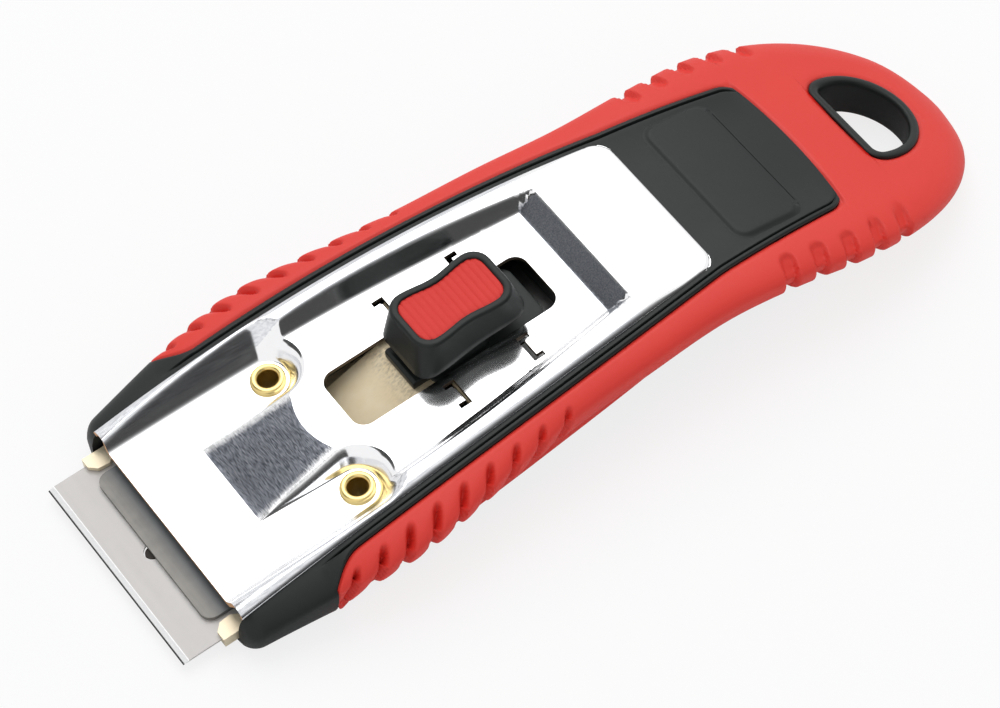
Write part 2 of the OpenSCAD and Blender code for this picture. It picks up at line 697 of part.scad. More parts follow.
// Guide strips beside the carriage, which also set the height of the cover
strip_low = -4.6;
module guide_strip() {
    on_track() difference() {
        union() {
            translate([strip_s, strip_in, base_top])
                cube([eyelet_s + pocket_r - strip_s, strip_w, pan_h - sheet_t - seat_gap - base_top]);
            translate([strip_s, strip_in, base_top]) cube([strip_l, strip_w, strip_low - base_top]);
        }
        translate([eyelet_s, eyelet_y, base_top - cut]) cylinder(d = eyelet_od + 2 * pin_gap, h = far, $fn = 48);
        translate([screw_s, screw_y, base_top - cut]) cylinder(d = screw_d + 2 * pin_gap, h = far, $fn = 32);
    }
}
strip_color = [0.25, 0.25, 0.26];
module guide_strip_left() {
    color(strip_color) guide_strip();
}
module guide_strip_right() {
    color(strip_color) mirror([0, 1, 0]) guide_strip();
}

// Two brass eyelets that clinch cover, guide strips and base plate together
module eyelet_profile() {
    lip_r = eyelet_lip_t / 2;
    bore_r = eyelet_bore_d / 2;
    translate([bore_r, base_bottom - washer_t - clinch_t])
        square([eyelet_wall, pan_h - base_bottom + washer_t + clinch_t + lip_r]);
    translate([bore_r, pan_h + seat_gap / 2]) square([eyelet_flange_d / 2 - lip_r - bore_r, eyelet_lip_t]);
    translate([eyelet_flange_d / 2 - lip_r, pan_h + lip_r + seat_gap / 2]) circle(lip_r, $fn = 32);
    translate([bore_r, base_bottom - washer_t - clinch_t]) square([(eyelet_flange_d - eyelet_bore_d) / 2 - 0.3, clinch_t]);
}
module cover_eyelets() {
    color([0.88, 0.76, 0.42]) on_track() at_eyelets() rotate_extrude($fn = 96) eyelet_profile();
}
module clinch_washers() {
    color([0.7, 0.7, 0.7]) on_track() at_eyelets() translate([0, 0, base_bottom - washer_t]) difference() {
        cylinder(d = washer_d, h = washer_t - seat_gap / 2, $fn = 48);
        translate([0, 0, -cut]) cylinder(d = eyelet_od + 2 * pin_gap, h = washer_t + 2 * cut, $fn = 48);
    }
}

// Two screws from below, through floor and base plate into the guide strips
module floor_screws() {
    screw_l = strip_low - floor_bottom - cut;
    color([0.55, 0.56, 0.58]) on_track() at_floor_screws() translate([0, 0, floor_bottom]) {
        cylinder(d = screw_d, h = screw_l, $fn = 32);
        difference() {
            translate([0, 0, pin_gap]) cylinder(d = screw_head_d, h = screw_head_t - 2 * pin_gap, $fn = 32);
            translate([-screw_head_d, -screw_slot_w / 2, -cut]) cube([2 * screw_head_d, screw_slot_w, cut + screw_slot_w]);
        }
    }
}

// Carrier plate under the blade, with a lug folded over each end of the blade
blade_seat_share = 0.368;
carrier_front_s = blade_seat_share * blade_d - blade_out;
carrier_narrow_w = 2 * (strip_in - side_gap);
carrier_wide_s = strip_s - travel - back_gap;
neck_gap = 0.6;
neck_s = slot_s + travel + neck_gap;
carrier_tail = 2.4;
carrier_end_s = neck_s + carrier_tail;
shoulder_l = 4;
lug_l = 4.4;
lug_in = 2.2;
lug_over = 0.1;
lug_chamfer = 1.2;
carrier_color = [0.9, 0.85, 0.74];
module carrier_plate() {
    lug_y = blade_w / 2 + lug_over;
    color(carrier_color) on_track() {
        difference() {
            translate([0, 0, carrier_bottom]) linear_extrude(carrier_t - seat_gap) polygon(mirrored([
                [carrier_front_s, lug_y + lug_t], [carrier_front_s + lug_l, lug_y + lug_t],
                [carrier_front_s + lug_l, leaf_w / 2 + carrier_t], [carrier_wide_s - shoulder_l, leaf_w / 2 + carrier_t],
                [carrier_wide_s, carrier_narrow_w / 2], [carrier_end_s, carrier_narrow_w / 2]]));
            at_leaf_rivets() cylinder(d = rivet_d + 2 * pin_gap, h = 2 * far, center = true, $fn = 32);
            at_arm_rivets() cylinder(d = rivet_d + 2 * pin_gap, h = 2 * far, center = true, $fn = 32);
            translate([arm_rise_s, -carrier_window_w / 2, -far])
                cube([carrier_end_s - arm_rise_s - shoulder_l, carrier_window_w, 2 * far]);
        }
        both_sides() {
            translate([carrier_front_s, lug_y, carrier_bottom])
                cube([lug_l, lug_t, blade_top + seat_gap + lug_t - carrier_bottom]);
            translate([0, 0, blade_top + seat_gap]) linear_extrude(lug_t) polygon([
                [carrier_front_s, lug_y + lug_t], [carrier_front_s, lug_y - lug_in + lug_chamfer],
                [carrier_front_s + lug_chamfer, lug_y - lug_in],
                [carrier_front_s + lug_l - lug_chamfer, lug_y - lug_in - 2 * lug_over],
                [carrier_front_s + lug_l, lug_y - lug_in + lug_chamfer / 2],
                [carrier_front_s + lug_l, lug_y + lug_t]]);
        }
    }
}
carrier_window_w = 9;

// Rivets of the carriage
rivet_d = 2;
rivet_head_d = 3.4;
rivet_head_t = 0.5;
leaf_tail = 8;
leaf_rivet_s = blade_d - blade_out + leaf_tail / 2;
leaf_rivet_y = 6;
module at_leaf_rivets() {
    both_sides() translate([leaf_rivet_s, leaf_rivet_y, 0]) children();
}
module rivet(top) {
    translate([0, 0, carrier_bottom]) cylinder(d = rivet_d, h = top - carrier_bottom, $fn = 32);
    translate([0, 0, top + seat_gap / 2]) cylinder(d = rivet_head_d, h = rivet_head_t, $fn = 32);
}
module leaf_rivets() {
    color(carrier_color) on_track() at_leaf_rivets() rivet(leaf_top);
}

// Blade, with its ground bevel, one hole, and a notch at each end for the carrier's lug
module razor_blade() {
    color([0.8, 0.79, 0.78]) on_track() difference() {
        translate([-blade_out, blade_w / 2, carrier_top]) rotate([90, 0, 0]) linear_extrude(blade_w)
            polygon([[0, 0], [blade_d, 0], [blade_d, blade_t - seat_gap],
                     [bevel_l, blade_t - seat_gap]]);
        translate([-blade_out + blade_hole_s, 0, carrier_top - cut])
            cylinder(d = blade_hole_d, h = blade_t + 2 * cut, $fn = 48);
    }
}
blade_hole_share = 0.374;
blade_hole_s = blade_hole_share * blade_d;

// Backstop between carrier and leaf, behind the blade
module blade_backstop() {
    backstop_w = carrier_narrow_w - 2 * side_gap;
    color([0.7, 0.7, 0.69]) on_track() difference() {
        translate([blade_d - blade_out + 2 * seat_gap, -backstop_w / 2, carrier_top - seat_gap / 2])
            cube([leaf_tail, backstop_w, blade_t - seat_gap]);
        at_leaf_rivets() cylinder(d = rivet_d + 2 * pin_gap, h = 2 * far, center = true, $fn = 32);
    }
}

// Clamping leaf on top of the blade, with round front corners
leaf_front_s = carrier_front_s - side_gap;
leaf_corner_r = 2;
module clamp_leaf() {
    leaf_end_s = blade_d - blade_out + leaf_tail;
    leaf_wide_s = carrier_wide_s - strip_gap;
    color([0.53, 0.51, 0.48]) on_track() difference() {
        translate([0, 0, blade_top]) linear_extrude(leaf_t - seat_gap) polygon(mirrored(concat(
            [for (a = [90 : -15 : 0]) [leaf_front_s + leaf_corner_r * (1 - sin(a)),
                leaf_w / 2 - leaf_corner_r * (1 - cos(a))]],
            [[leaf_wide_s, leaf_w / 2], [leaf_wide_s + back_gap, carrier_narrow_w / 2],
             [leaf_end_s, carrier_narrow_w / 2]])));
        at_leaf_rivets() cylinder(d = rivet_d + 2 * pin_gap, h = 2 * far, center = true, $fn = 32);
    }
}

// Spring arm: a flat root on the carrier, a rise up to the deck, and a flat with two ears
arm_root_lead = 4.9;
arm_root_s = eyelet_s - arm_root_lead;
arm_root_l = 5;
arm_w = 12.8;
arm_rise_s = arm_root_s + arm_root_l;
arm_flat_lead = 0.2;
arm_flat_s = neck_s + arm_flat_lead;
arm_flat_h = -2.3;
arm_flat_tail = 1.5;
arm_flat_l = rear_tab_s + arm_flat_tail - arm_flat_s;
ear_s = front_tab_s + tab_cut + side_gap;
ear_l = rear_tab_s - front_tab_s - 2 * (tab_cut + side_gap);
ear_w = 24.4;
module at_arm_rivets() {
    both_sides() translate([arm_root_s + arm_root_l / 2, arm_rivet_y, 0]) children();
}
arm_rivet_y = 4;
bend_share = 0.2;
module spring_arm() {
    root_h = carrier_top;
    color(carrier_color) on_track() difference() {
        union() {
            translate([0, arm_w / 2, 0]) rotate([90, 0, 0]) linear_extrude(arm_w) polygon([
                [arm_root_s, root_h], [arm_rise_s, root_h], [arm_flat_s, arm_flat_h],
                [arm_flat_s + arm_flat_l, arm_flat_h], [arm_flat_s + arm_flat_l, arm_flat_h + arm_t],
                [arm_flat_s - arm_t * bend_share, arm_flat_h + arm_t], [arm_rise_s - arm_t * bend_share, root_h + arm_t],
                [arm_root_s, root_h + arm_t]]);
            translate([ear_s, -ear_w / 2, arm_flat_h]) cube([ear_l, ear_w, arm_t]);
        }
        at_arm_rivets() cylinder(d = rivet_d + 2 * pin_gap, h = 2 * far, center = true, $fn = 32);
        at_knob_screws() cylinder(d = knob_screw_d + 2 * pin_gap, h = 2 * far, center = true, $fn = 32);
    }
}
module arm_rivets() {
    color(carrier_color) on_track() at_arm_rivets() rivet(carrier_top + arm_t);
}

// Shoe under the arm's flat, which the knob's screws pull up against it
press_room = 0.1;
neck_l = slot_l - 2 * (travel + neck_gap) - press_room;
neck_w = 8.8;
knob_screw_d = 2;
knob_screw_head_d = 3.6;
shoe_t = 1;
knob_screw_shares = [0.27, 0.74];
knob_screw_head_t = 0.9;
knob_screw_top_share = 0.41;
knob_hole_share = 0.5;
module at_knob_screws() {
    for (share = knob_screw_shares) translate([neck_s + share * neck_l, 0, 0]) children();
}
module knob_shoe() {
    color(core_color) on_track() difference() {
        translate([neck_s, -neck_w / 2, arm_flat_h - shoe_t]) cube([neck_l, neck_w, shoe_t - seat_gap]);
        at_knob_screws() cylinder(d = knob_screw_d + 2 * pin_gap, h = 2 * far, center = true, $fn = 32);
    }
}
module knob_screws() {
    color([0.6, 0.6, 0.6]) on_track() at_knob_screws() {
        translate([0, 0, arm_flat_h - shoe_t]) cylinder(d = knob_screw_d,
            h = knob_screw_top_share * knob_h - arm_flat_h + shoe_t, $fn = 32);
        translate([0, 0, arm_flat_h - shoe_t - knob_screw_head_t])
            cylinder(d = knob_screw_head_d, h = knob_screw_head_t - seat_gap, $fn = 32);
    }
}

// Waisted plan of the knob and its pad, about the knob's own middle
knob_lead = 0.3;
knob_s = neck_s + knob_lead;
knob_corner_r = 3.2;
function waisted(l, w, waist, n) = [for (i = [0 : n]) let (u = -1 + 2 * i / n)
    [u * (l / 2 - knob_corner_r), mix(waist, w, (1 - cos(180 * u)) / 2) / 2]];
module knob_plan(inset) {
    l = knob_l - 2 * inset;
    r = knob_corner_r - inset / 2;
    side = waisted(l, knob_w - 2 * inset, knob_waist - 2 * inset, 12);
    polygon(mirrored(concat(
        [for (a = [90 : -15 : 15]) [-l / 2 + r * (1 - sin(a)), side[0][1] - r * (1 - cos(a))]],
        [for (p = side) [p[0], p[1]]],
        [for (a = [15 : 15 : 90]) [l / 2 - r * (1 - sin(a)), side[len(side) - 1][1] - r * (1 - cos(a))]])));
}
knob_low = 1.2;
knob_low_rear = 3.2;
sweep_shares = [0.55, 0.8];
sweep_rise_share = 0.35;
foot_lip = 0.4;
pad_in = 1.4;
pad_deep = 1;
module knob_plan_at() {
    translate([knob_s + knob_l / 2, 0]) children();
}
module thumb_knob() {
    color(core_color) on_track() difference() {
        union() {
            intersection() {
                translate([0, 0, knob_low]) linear_extrude(knob_h - knob_low) knob_plan_at() knob_plan(0);
                translate([0, far, 0]) rotate([90, 0, 0]) linear_extrude(2 * far) polygon([
                    [knob_s - cut, knob_low], [knob_s + knob_l * sweep_shares[0], knob_low],
                    [knob_s + knob_l * sweep_shares[1], mix(knob_low, knob_low_rear, sweep_rise_share)],
                    [knob_s + knob_l + cut, knob_low_rear], [knob_s + knob_l + cut, far], [knob_s - cut, far]]);
            }
            translate([neck_s, -neck_w / 2, arm_flat_h + arm_t]) cube([neck_l, neck_w, knob_low + neck_gap - arm_flat_h - arm_t]);
            translate([neck_s - foot_lip, -neck_w / 2, arm_flat_h + arm_t]) cube([neck_gap + foot_lip, neck_w, shoe_t]);
        }
        translate([0, 0, knob_h - pad_deep]) linear_extrude(far) knob_plan_at() knob_plan(pad_in);
        at_knob_screws() translate([0, 0, -far]) cylinder(d = knob_screw_d + 2 * pin_gap, h = far + knob_hole_share * knob_h, $fn = 32);
    }
}

// Soft ribbed pad set into the knob's top
rib_h = 0.35;
module knob_pad() {
    pad_l = knob_l - 2 * pad_in - 2 * seat_gap;
    pitch = pad_l / (pad_ribs + 1);
    color(grip_color) on_track() {
        translate([0, 0, knob_h - pad_deep + seat_gap]) linear_extrude(pad_deep - rib_h)
            knob_plan_at() knob_plan(pad_in + seat_gap);
        intersection() {
            translate([0, 0, knob_h - rib_h - 2 * seat_gap]) linear_extrude(2 * rib_h)
                knob_plan_at() knob_plan(pad_in + seat_gap);
            for (i = [1 : pad_ribs]) translate([knob_s + pad_in + seat_gap + i * pitch, 0, knob_h - rib_h - 2 * seat_gap])
                rotate([90, 0, 0]) cylinder(r = rib_h, h = knob_w, center = true, $fn = 16);
        }
    }
}

handle_core();
soft_grip();
hang_ring();
cover_plate();
base_plate();
guide_strip_left();
guide_strip_right();
cover_eyelets();
clinch_washers();
floor_screws();
carrier_plate();
blade_backstop();
clamp_leaf();
leaf_rivets();
razor_blade();
spring_arm();
arm_rivets();
knob_shoe();
thumb_knob();
knob_pad();
knob_screws();
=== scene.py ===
import math

import bmesh
import bpy
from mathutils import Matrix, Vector
from mathutils.geometry import delaunay_2d_cdt


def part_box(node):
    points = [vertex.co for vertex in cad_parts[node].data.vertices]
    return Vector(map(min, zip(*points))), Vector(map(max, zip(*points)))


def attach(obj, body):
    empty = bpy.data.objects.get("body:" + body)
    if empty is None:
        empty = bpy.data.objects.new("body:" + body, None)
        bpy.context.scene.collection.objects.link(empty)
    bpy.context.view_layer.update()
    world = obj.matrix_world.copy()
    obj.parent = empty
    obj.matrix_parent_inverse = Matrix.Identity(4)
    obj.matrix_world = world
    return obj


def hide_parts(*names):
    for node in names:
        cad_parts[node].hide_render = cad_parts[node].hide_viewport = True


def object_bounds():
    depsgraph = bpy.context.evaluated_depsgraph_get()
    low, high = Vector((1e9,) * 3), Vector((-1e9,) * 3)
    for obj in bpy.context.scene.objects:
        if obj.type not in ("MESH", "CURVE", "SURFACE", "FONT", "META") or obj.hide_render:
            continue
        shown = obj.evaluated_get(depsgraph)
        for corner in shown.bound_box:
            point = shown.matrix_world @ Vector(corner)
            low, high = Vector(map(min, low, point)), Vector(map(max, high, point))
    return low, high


# Razor blade scraper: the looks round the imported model.
# Shapes are in millimetres. A station s is a distance behind the nose, y is across the tool, and h
# is a height over the sunk deck of the steel cover, square to the carriage's sloping track.

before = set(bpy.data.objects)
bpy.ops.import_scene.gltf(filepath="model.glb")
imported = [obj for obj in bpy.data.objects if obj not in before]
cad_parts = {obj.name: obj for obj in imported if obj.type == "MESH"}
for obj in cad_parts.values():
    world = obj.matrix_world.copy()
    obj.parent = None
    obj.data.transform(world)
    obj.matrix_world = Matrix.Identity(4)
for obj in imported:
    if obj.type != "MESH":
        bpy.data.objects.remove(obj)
cad_low, cad_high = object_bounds()

MM = 0.001
HANDLE = "handle"
CARRIAGE = "carriage"
KNOB = "knob"

# Handle
BODY_L = 152
NOSE_X = cad_high.x / MM - BODY_L
CROWN_S = 88
CROWN_Z = 19.5
ARCH_FRONT_R = 325
ARCH_REAR_R = 153
HOLLOW_S = 93
HOLLOW_Z = 8.4
HOLLOW_R = 165
SIDE_KNOTS = ((0, 24.4), (13.07, 26.49), (24, 28.32), (31.9, 28.6), (46.1, 26.72), (60, 24.9),
              (74.9, 23.9), (90, 22.9), (103.1, 23.5), (115.1, 24.5))
HEEL_S = 115.1
HEEL_W = 24.5
TAIL_POWER = 2.2
TAIL_ROUND = 5
TAIL_ROUND_DROP = 0.5
SIDE_UP = 2.4
SIDE_DOWN = 5
SIDE_LEAST_H = 0.6
GRIP_IN = 6
WING_IN = 6.5
BELLY_IN = 11
GRIP_LIP = 0.6
SEAM = 0.05

# Black core
CHEEK_END_S = 14.6
CHEEK_CURVE_L = 6.4
CHEEK_CURVE_END_S = CHEEK_END_S + CHEEK_CURVE_L
NOSE_CORNER = 2.6
NOSE_UP = 3
NOSE_IN = 4.5
RIM_W = 1.9
LABEL_END_S = 120.8
LABEL_ROUND_S = 116.4
LABEL_CORNER_R = 4.4
LABEL_BULGE = 1.4
LABEL_TAIL_W = 15.2

# Steel cover
SHEET_T = 0.8
COVER_FRONT_S = 0.7
COVER_END_S = 94
COVER_NOSE_W = 21.2
COVER_TAPER = 6
COVER_TAPER_POWER = 2.2
COVER_CORNER_R = 3
BEAD_UP = 1.05
BEAD_W = 2.0
TAIL_S = 80
TAIL_L = 8
TAIL_BEAD_UP = 0.55
TAIL_BEAD_W = 0.9
# Deck: distance of its side foot from the cover's edge, which grows over a length, and its wall
DECK_IN = (5.1, 5.9)
DECK_IN_S = 28
DECK_IN_L = 47
DECK_WALL_SPREAD = 1.05
DECK_WALL_W = (0.8, 3.2)
# Rounded head and foot of a pressed wall, as shares of its width
SIDE_FOLD = (0.3, 0.3)
REAR_FOLD = (0.22, 0.06)
REAR_FOOT_S = 75.2
REAR_TOP_S = 79.3
REAR_WALL_W = 12.1
# Pan and pockets: slope, foot and crest of the wall round a pocket and along the bead
PAN_H = -3.1
PAN_IN = 4.8
PAN_END_L = 8
POCKET_R = 3.45
POCKET_RISE = 1.8
POCKET_FOOT = 0.4
POCKET_CREST = 1.6
BEAD_RISE = 1.42
BEAD_FOOT = 1.2
BEAD_CREST = 1.0
CREST_FADE_H = 1.5
RAMP_S = 12.5
RAMP_TOP_S = 26.1
RAMP_TOP_BOW = 1.6
RAMP_TOP_HALF_W = 6.05
RAMP_TOP_END_Y = 7.2
RAMP_TAPER = 0.8
# Slot: front, rear, half width and corner
SLOT = (32.6, 70.8, 5.95, 2.4)
EYELET_S = 27.4
EYELET_Y = 12.55
EYELET_HOLE_R = 2.1

# Track
SLOPE = math.radians(6)
DECK_Z = 10.03
BASE_BOTTOM_H = -9
FLOOR_BOTTOM_H = -10.2

# Hang hole
HANG_MID_S = 134.9
HANG_R = 8.4
HANG_FRONT_S = 132.3
HANG_CORNER_R = 1.5
HANG_WALL = 1.7
HANG_H = 8
HANG_CORNER_S = HANG_FRONT_S + HANG_CORNER_R
HANG_CORNER_Y = math.sqrt((HANG_R - HANG_CORNER_R) ** 2 - (HANG_CORNER_S - HANG_MID_S) ** 2)

# Points closer than this become one
MERGE_D = 0.002
PLAN_MERGE_D = 0.0005


def mix(a, b, t):
    return a + (b - a) * t


def clamp(t, low=0.0, high=1.0):
    return min(high, max(low, t))


def smooth(t):
    t = clamp(t)
    return t * t * (3 - 2 * t)


def quarter(i, steps):
    """Angle of a step of a quarter turn."""
    return math.pi / 2 * i / steps


def arc_drop(d, r):
    """Fall of a circle of radius r at a distance d from its top."""
    return r - math.sqrt(max(r * r - d * d, 0))


def back_z(s):
    """Height of the handle's back over the table."""
    if s < CROWN_S:
        return CROWN_Z - arc_drop(CROWN_S - s, ARCH_FRONT_R)
    return CROWN_Z - arc_drop(s - CROWN_S, ARCH_REAR_R)


def track_z(s, h):
    """Height over the table of a level of the track, at a station of the handle."""
    return DECK_Z + s * math.tan(SLOPE) + h / math.cos(SLOPE)


def belly_z(s):
    """Height of the underside over the table."""
    hollow = HOLLOW_Z - (arc_drop(s - HOLLOW_S, HOLLOW_R) if s > HOLLOW_S else 0)
    return max(0, min(track_z(s, FLOOR_BOTTOM_H), hollow))


def knot_curve(knots, s):
    """Smooth curve through (place, value) knots."""
    i = 0
    while i < len(knots) - 2 and s >= knots[i + 1][0]:
        i += 1

    def slope(k):
        a, b = knots[max(k - 1, 0)], knots[min(k + 1, len(knots) - 1)]
        return (b[1] - a[1]) / (b[0] - a[0])

    (s0, v0), (s1, v1) = knots[i], knots[i + 1]
    d = s1 - s0
    t = clamp((s - s0) / d)
    start = t * (1 - t) ** 2
    end = t * t * (t - 1)
    return mix(v0, v1, smooth(t)) + d * (start * slope(i) + end * slope(i + 1))


def side_w(s):
    """Half width of the whole handle."""
    if s <= HEEL_S:
        return knot_curve(SIDE_KNOTS, s)
    u = clamp((s - HEEL_S) / (BODY_L - HEEL_S))
    return HEEL_W * (1 - u ** TAIL_POWER) ** (1 / TAIL_POWER)


def cover_w(s):
    """Half width of the steel cover."""
    return COVER_NOSE_W - COVER_TAPER * (max(s, 0) / COVER_END_S) ** COVER_TAPER_POWER


def core_w(s):
    """Half width of the black core behind the cheeks."""
    if s < COVER_END_S:
        return cover_w(s) + RIM_W
    t = (s - COVER_END_S) / (LABEL_END_S - COVER_END_S)
    return mix(cover_w(COVER_END_S) + RIM_W, LABEL_TAIL_W, t)


def seam_w(s):
    """Half width at which the black core ends and the red grip begins."""
    if s < CHEEK_CURVE_END_S:
        t = clamp((s - CHEEK_END_S) / CHEEK_CURVE_L)
        return mix(side_w(CHEEK_END_S) - GRIP_LIP, core_w(CHEEK_CURVE_END_S), math.sin(quarter(t, 1)))
    if s < LABEL_ROUND_S:
        return core_w(s)
    if s >= LABEL_END_S:
        return 0
    w = core_w(LABEL_ROUND_S)
    corner = w - arc_drop(s - LABEL_ROUND_S, LABEL_CORNER_R)
    return min(corner, w * math.sqrt((LABEL_END_S - s) / LABEL_BULGE))


def label_edge_s(y):
    """Station of the label panel's rounded rear edge."""
    return LABEL_END_S - LABEL_BULGE * (y / core_w(LABEL_ROUND_S)) ** 2


def skin_shape(s):
    """The handle's outer skin at a station: half width, back, widest level, underside, edge width."""
    front = smooth(s / CHEEK_END_S)
    top = back_z(s)
    if s > BODY_L - TAIL_ROUND:
        top -= arc_drop(s - BODY_L + TAIL_ROUND, TAIL_ROUND) * TAIL_ROUND_DROP
    low = belly_z(s)
    up = mix(NOSE_UP, SIDE_UP, front)
    mid = max(top - up, low + SIDE_LEAST_H)
    return side_w(s), top, mid, low, mix(NOSE_IN, GRIP_IN, front)


def skin_z(s, y):
    """Height of the handle's rounded top at a station and a distance from its middle."""
    w, top, mid, _, edge = skin_shape(s)
    edge = min(edge, 0.9 * w + 0.01)
    u = clamp((abs(y) - (w - edge)) / edge)
    return top - (top - mid) * arc_drop(u, 1)


def at(s, y, z):
    """Point of the handle."""
    return Vector((NOSE_X + s, y, z))


def on_track(s, y, h):
    """Point of the carriage's track."""
    return Vector((NOSE_X + s * math.cos(SLOPE) - h * math.sin(SLOPE), y,
                   DECK_Z + s * math.sin(SLOPE) + h * math.cos(SLOPE)))


# Mesh helpers

def make_piece(name, points, faces, finishes, finish_of=None, sharp=30):
    """A mesh piece from points in millimetres, smooth but for edges sharper than an angle."""
    mesh = bpy.data.meshes.new(name)
    mesh.from_pydata([Vector(p) * MM for p in points], [], faces)
    for finish in finishes:
        mesh.materials.append(finish)
    if finish_of:
        mesh.polygons.foreach_set("material_index", finish_of)
    form = bmesh.new()
    form.from_mesh(mesh)
    bmesh.ops.remove_doubles(form, verts=form.verts, dist=MERGE_D * MM)
    bmesh.ops.recalc_face_normals(form, faces=form.faces)
    if form.calc_volume(signed=True) < 0:
        bmesh.ops.reverse_faces(form, faces=form.faces)
    form.to_mesh(mesh)
    form.free()
    mesh.shade_smooth()
    mesh.set_sharp_from_angle(angle=math.radians(sharp))
    piece = bpy.data.objects.new(name, mesh)
    bpy.context.collection.objects.link(piece)
    return piece


def settle(piece, sharp=30):
    """Turns a piece's modifiers into plain mesh."""
    bpy.context.view_layer.update()
    graph = bpy.context.evaluated_depsgraph_get()
    mesh = bpy.data.meshes.new_from_object(piece.evaluated_get(graph))
    piece.modifiers.clear()
    piece.data = mesh
    mesh.shade_smooth()
    mesh.set_sharp_from_angle(angle=math.radians(sharp))
    return piece


def ring_faces(first, second, closed=True):
    """Faces between two rings of point numbers."""
    n = len(first)
    last = n if closed else n - 1
    return [(first[i], first[(i + 1) % n], second[(i + 1) % n], second[i]) for i in range(last)]


def loft(rings, caps=True):
    """Points and faces of a closed skin through rings of equally many points."""
    n = len(rings[0])
    points = [p for ring in rings for p in ring]
    faces = []
    for k in range(len(rings) - 1):
        first = list(range(k * n, (k + 1) * n))
        second = list(range((k + 1) * n, (k + 2) * n))
        faces += ring_faces(first, second)
    if caps:
        faces.append(tuple(reversed(range(n))))
        faces.append(tuple(range((len(rings) - 1) * n, len(rings) * n)))
    return points, faces


def joined(parts):
    """Points and faces of several skins as one."""
    points, faces = [], []
    for more, skin in parts:
        first = len(points)
        points += more
        faces += [tuple(first + i for i in face) for face in skin]
    return points, faces


def turned_rings(profile, s, y, steps):
    """Rings round a line square to the track, for a profile of (radius, height) points."""
    turn = [2 * math.pi * i / steps for i in range(steps)]
    return [[on_track(s + r * math.cos(a), y + r * math.sin(a), h) for a in turn] for r, h in profile]


def both_halves(half):
    """A full outline from its right half, which starts and ends on the middle plane."""
    return half + [(-p[0], p[1]) for p in reversed(half[1:-1])]


def carve(piece, cutters):
    """Cuts closed helper shapes out of a piece and removes them."""
    for cutter in cutters:
        cut = piece.modifiers.new("carve", "BOOLEAN")
        cut.object = cutter
        cut.operation = "DIFFERENCE"
        cut.solver = "MANIFOLD"
    settle(piece)
    for cutter in cutters:
        bpy.data.objects.remove(cutter)
    return piece


def soften(piece, width):
    """Rounds a piece's sharp edges."""
    edge = piece.modifiers.new("soften", "BEVEL")
    edge.width = width * MM
    edge.segments = 2
    edge.limit_method = "ANGLE"
    edge.angle_limit = math.radians(35)
    edge.harden_normals = False
    return settle(piece, sharp=50)


def track_block(name, s0, s1, half_w, h0, h1):
    """Box along the track, as a cutter."""
    corners = ((-half_w, h0), (half_w, h0), (half_w, h1), (-half_w, h1))
    rings = [[on_track(s, y, h) for y, h in corners] for s in (s0, s1)]
    return make_piece(name, *loft(rings), ())


def track_drum(name, s, y, r, h0, h1):
    """Round post square to the track, as a cutter."""
    return make_piece(name, *loft(turned_rings(((r, h0), (r, h1)), s, y, 40)), ())


LEAST_STEP = 0.02


def stations(*spans):
    """Stations of several (start, end, step) spans, in order and without doubles."""
    found = []
    for start, end, step in spans:
        count = max(1, round((end - start) / step))
        found += [mix(start, end, i / count) for i in range(count + 1)]
    found.sort()
    kept = [found[0]]
    for s in found:
        if s - kept[-1] > LEAST_STEP:
            kept.append(s)
    return kept


def grid(along, across):
    """Plan points of a grid, from a (start, end, step) span each way."""
    return [(s, y) for s in stations(along) for y in stations(across)]


def inside(point, outline):
    """Whether a plan point lies inside a closed outline."""
    x, y = point
    odd = False
    for i, a in enumerate(outline):
        b = outline[i - 1]
        if (a[1] > y) != (b[1] > y) and x < a[0] + (y - a[1]) * (b[0] - a[0]) / (b[1] - a[1]):
            odd = not odd
    return odd


def plate(name, outline, holes, extra, lines, height, finishes, finish_at, thick, sharp=30):
    """Sheet over a plan outline with holes, lifted by a height function and given a thickness."""
    points = []
    edges = []

    def add_line(line, closed):
        first = len(points)
        points.extend(line)
        count = len(line)
        for i in range(count if closed else count - 1):
            edges.append((first + i, first + (i + 1) % count))

    add_line(outline, True)
    for hole in holes:
        add_line(hole, True)
    for line in lines:
        add_line(line, False)
    points.extend(p for p in extra if inside(p, outline) and not any(inside(p, h) for h in holes))
    flat = delaunay_2d_cdt([Vector(p) for p in points], edges, [], 1, PLAN_MERGE_D)
    verts, triangles = flat[0], flat[2]
    kept = []
    finish_of = []
    for tri in triangles:
        centre = (sum(verts[i][0] for i in tri) / 3, sum(verts[i][1] for i in tri) / 3)
        if inside(centre, outline) and not any(inside(centre, hole) for hole in holes):
            kept.append(tuple(tri))
            finish_of.append(finish_at(*centre))
    lifted = [at(v[0], v[1], height(v[0], v[1])) for v in verts]
    used = sorted({i for tri in kept for i in tri})
    number = {old: new for new, old in enumerate(used)}
    faces = [tuple(number[i] for i in tri) for tri in kept]
    piece = make_piece(name, [lifted[i] for i in used], faces, finishes, finish_of, sharp)
    if sum(f.normal.z for f in piece.data.polygons) < 0:
        piece.data.flip_normals()
    wall = piece.modifiers.new("sheet", "SOLIDIFY")
    wall.thickness = thick * MM
    wall.offset = -1
    wall.use_even_offset = True
    wall.material_offset_rim = 1
    return settle(piece, sharp)


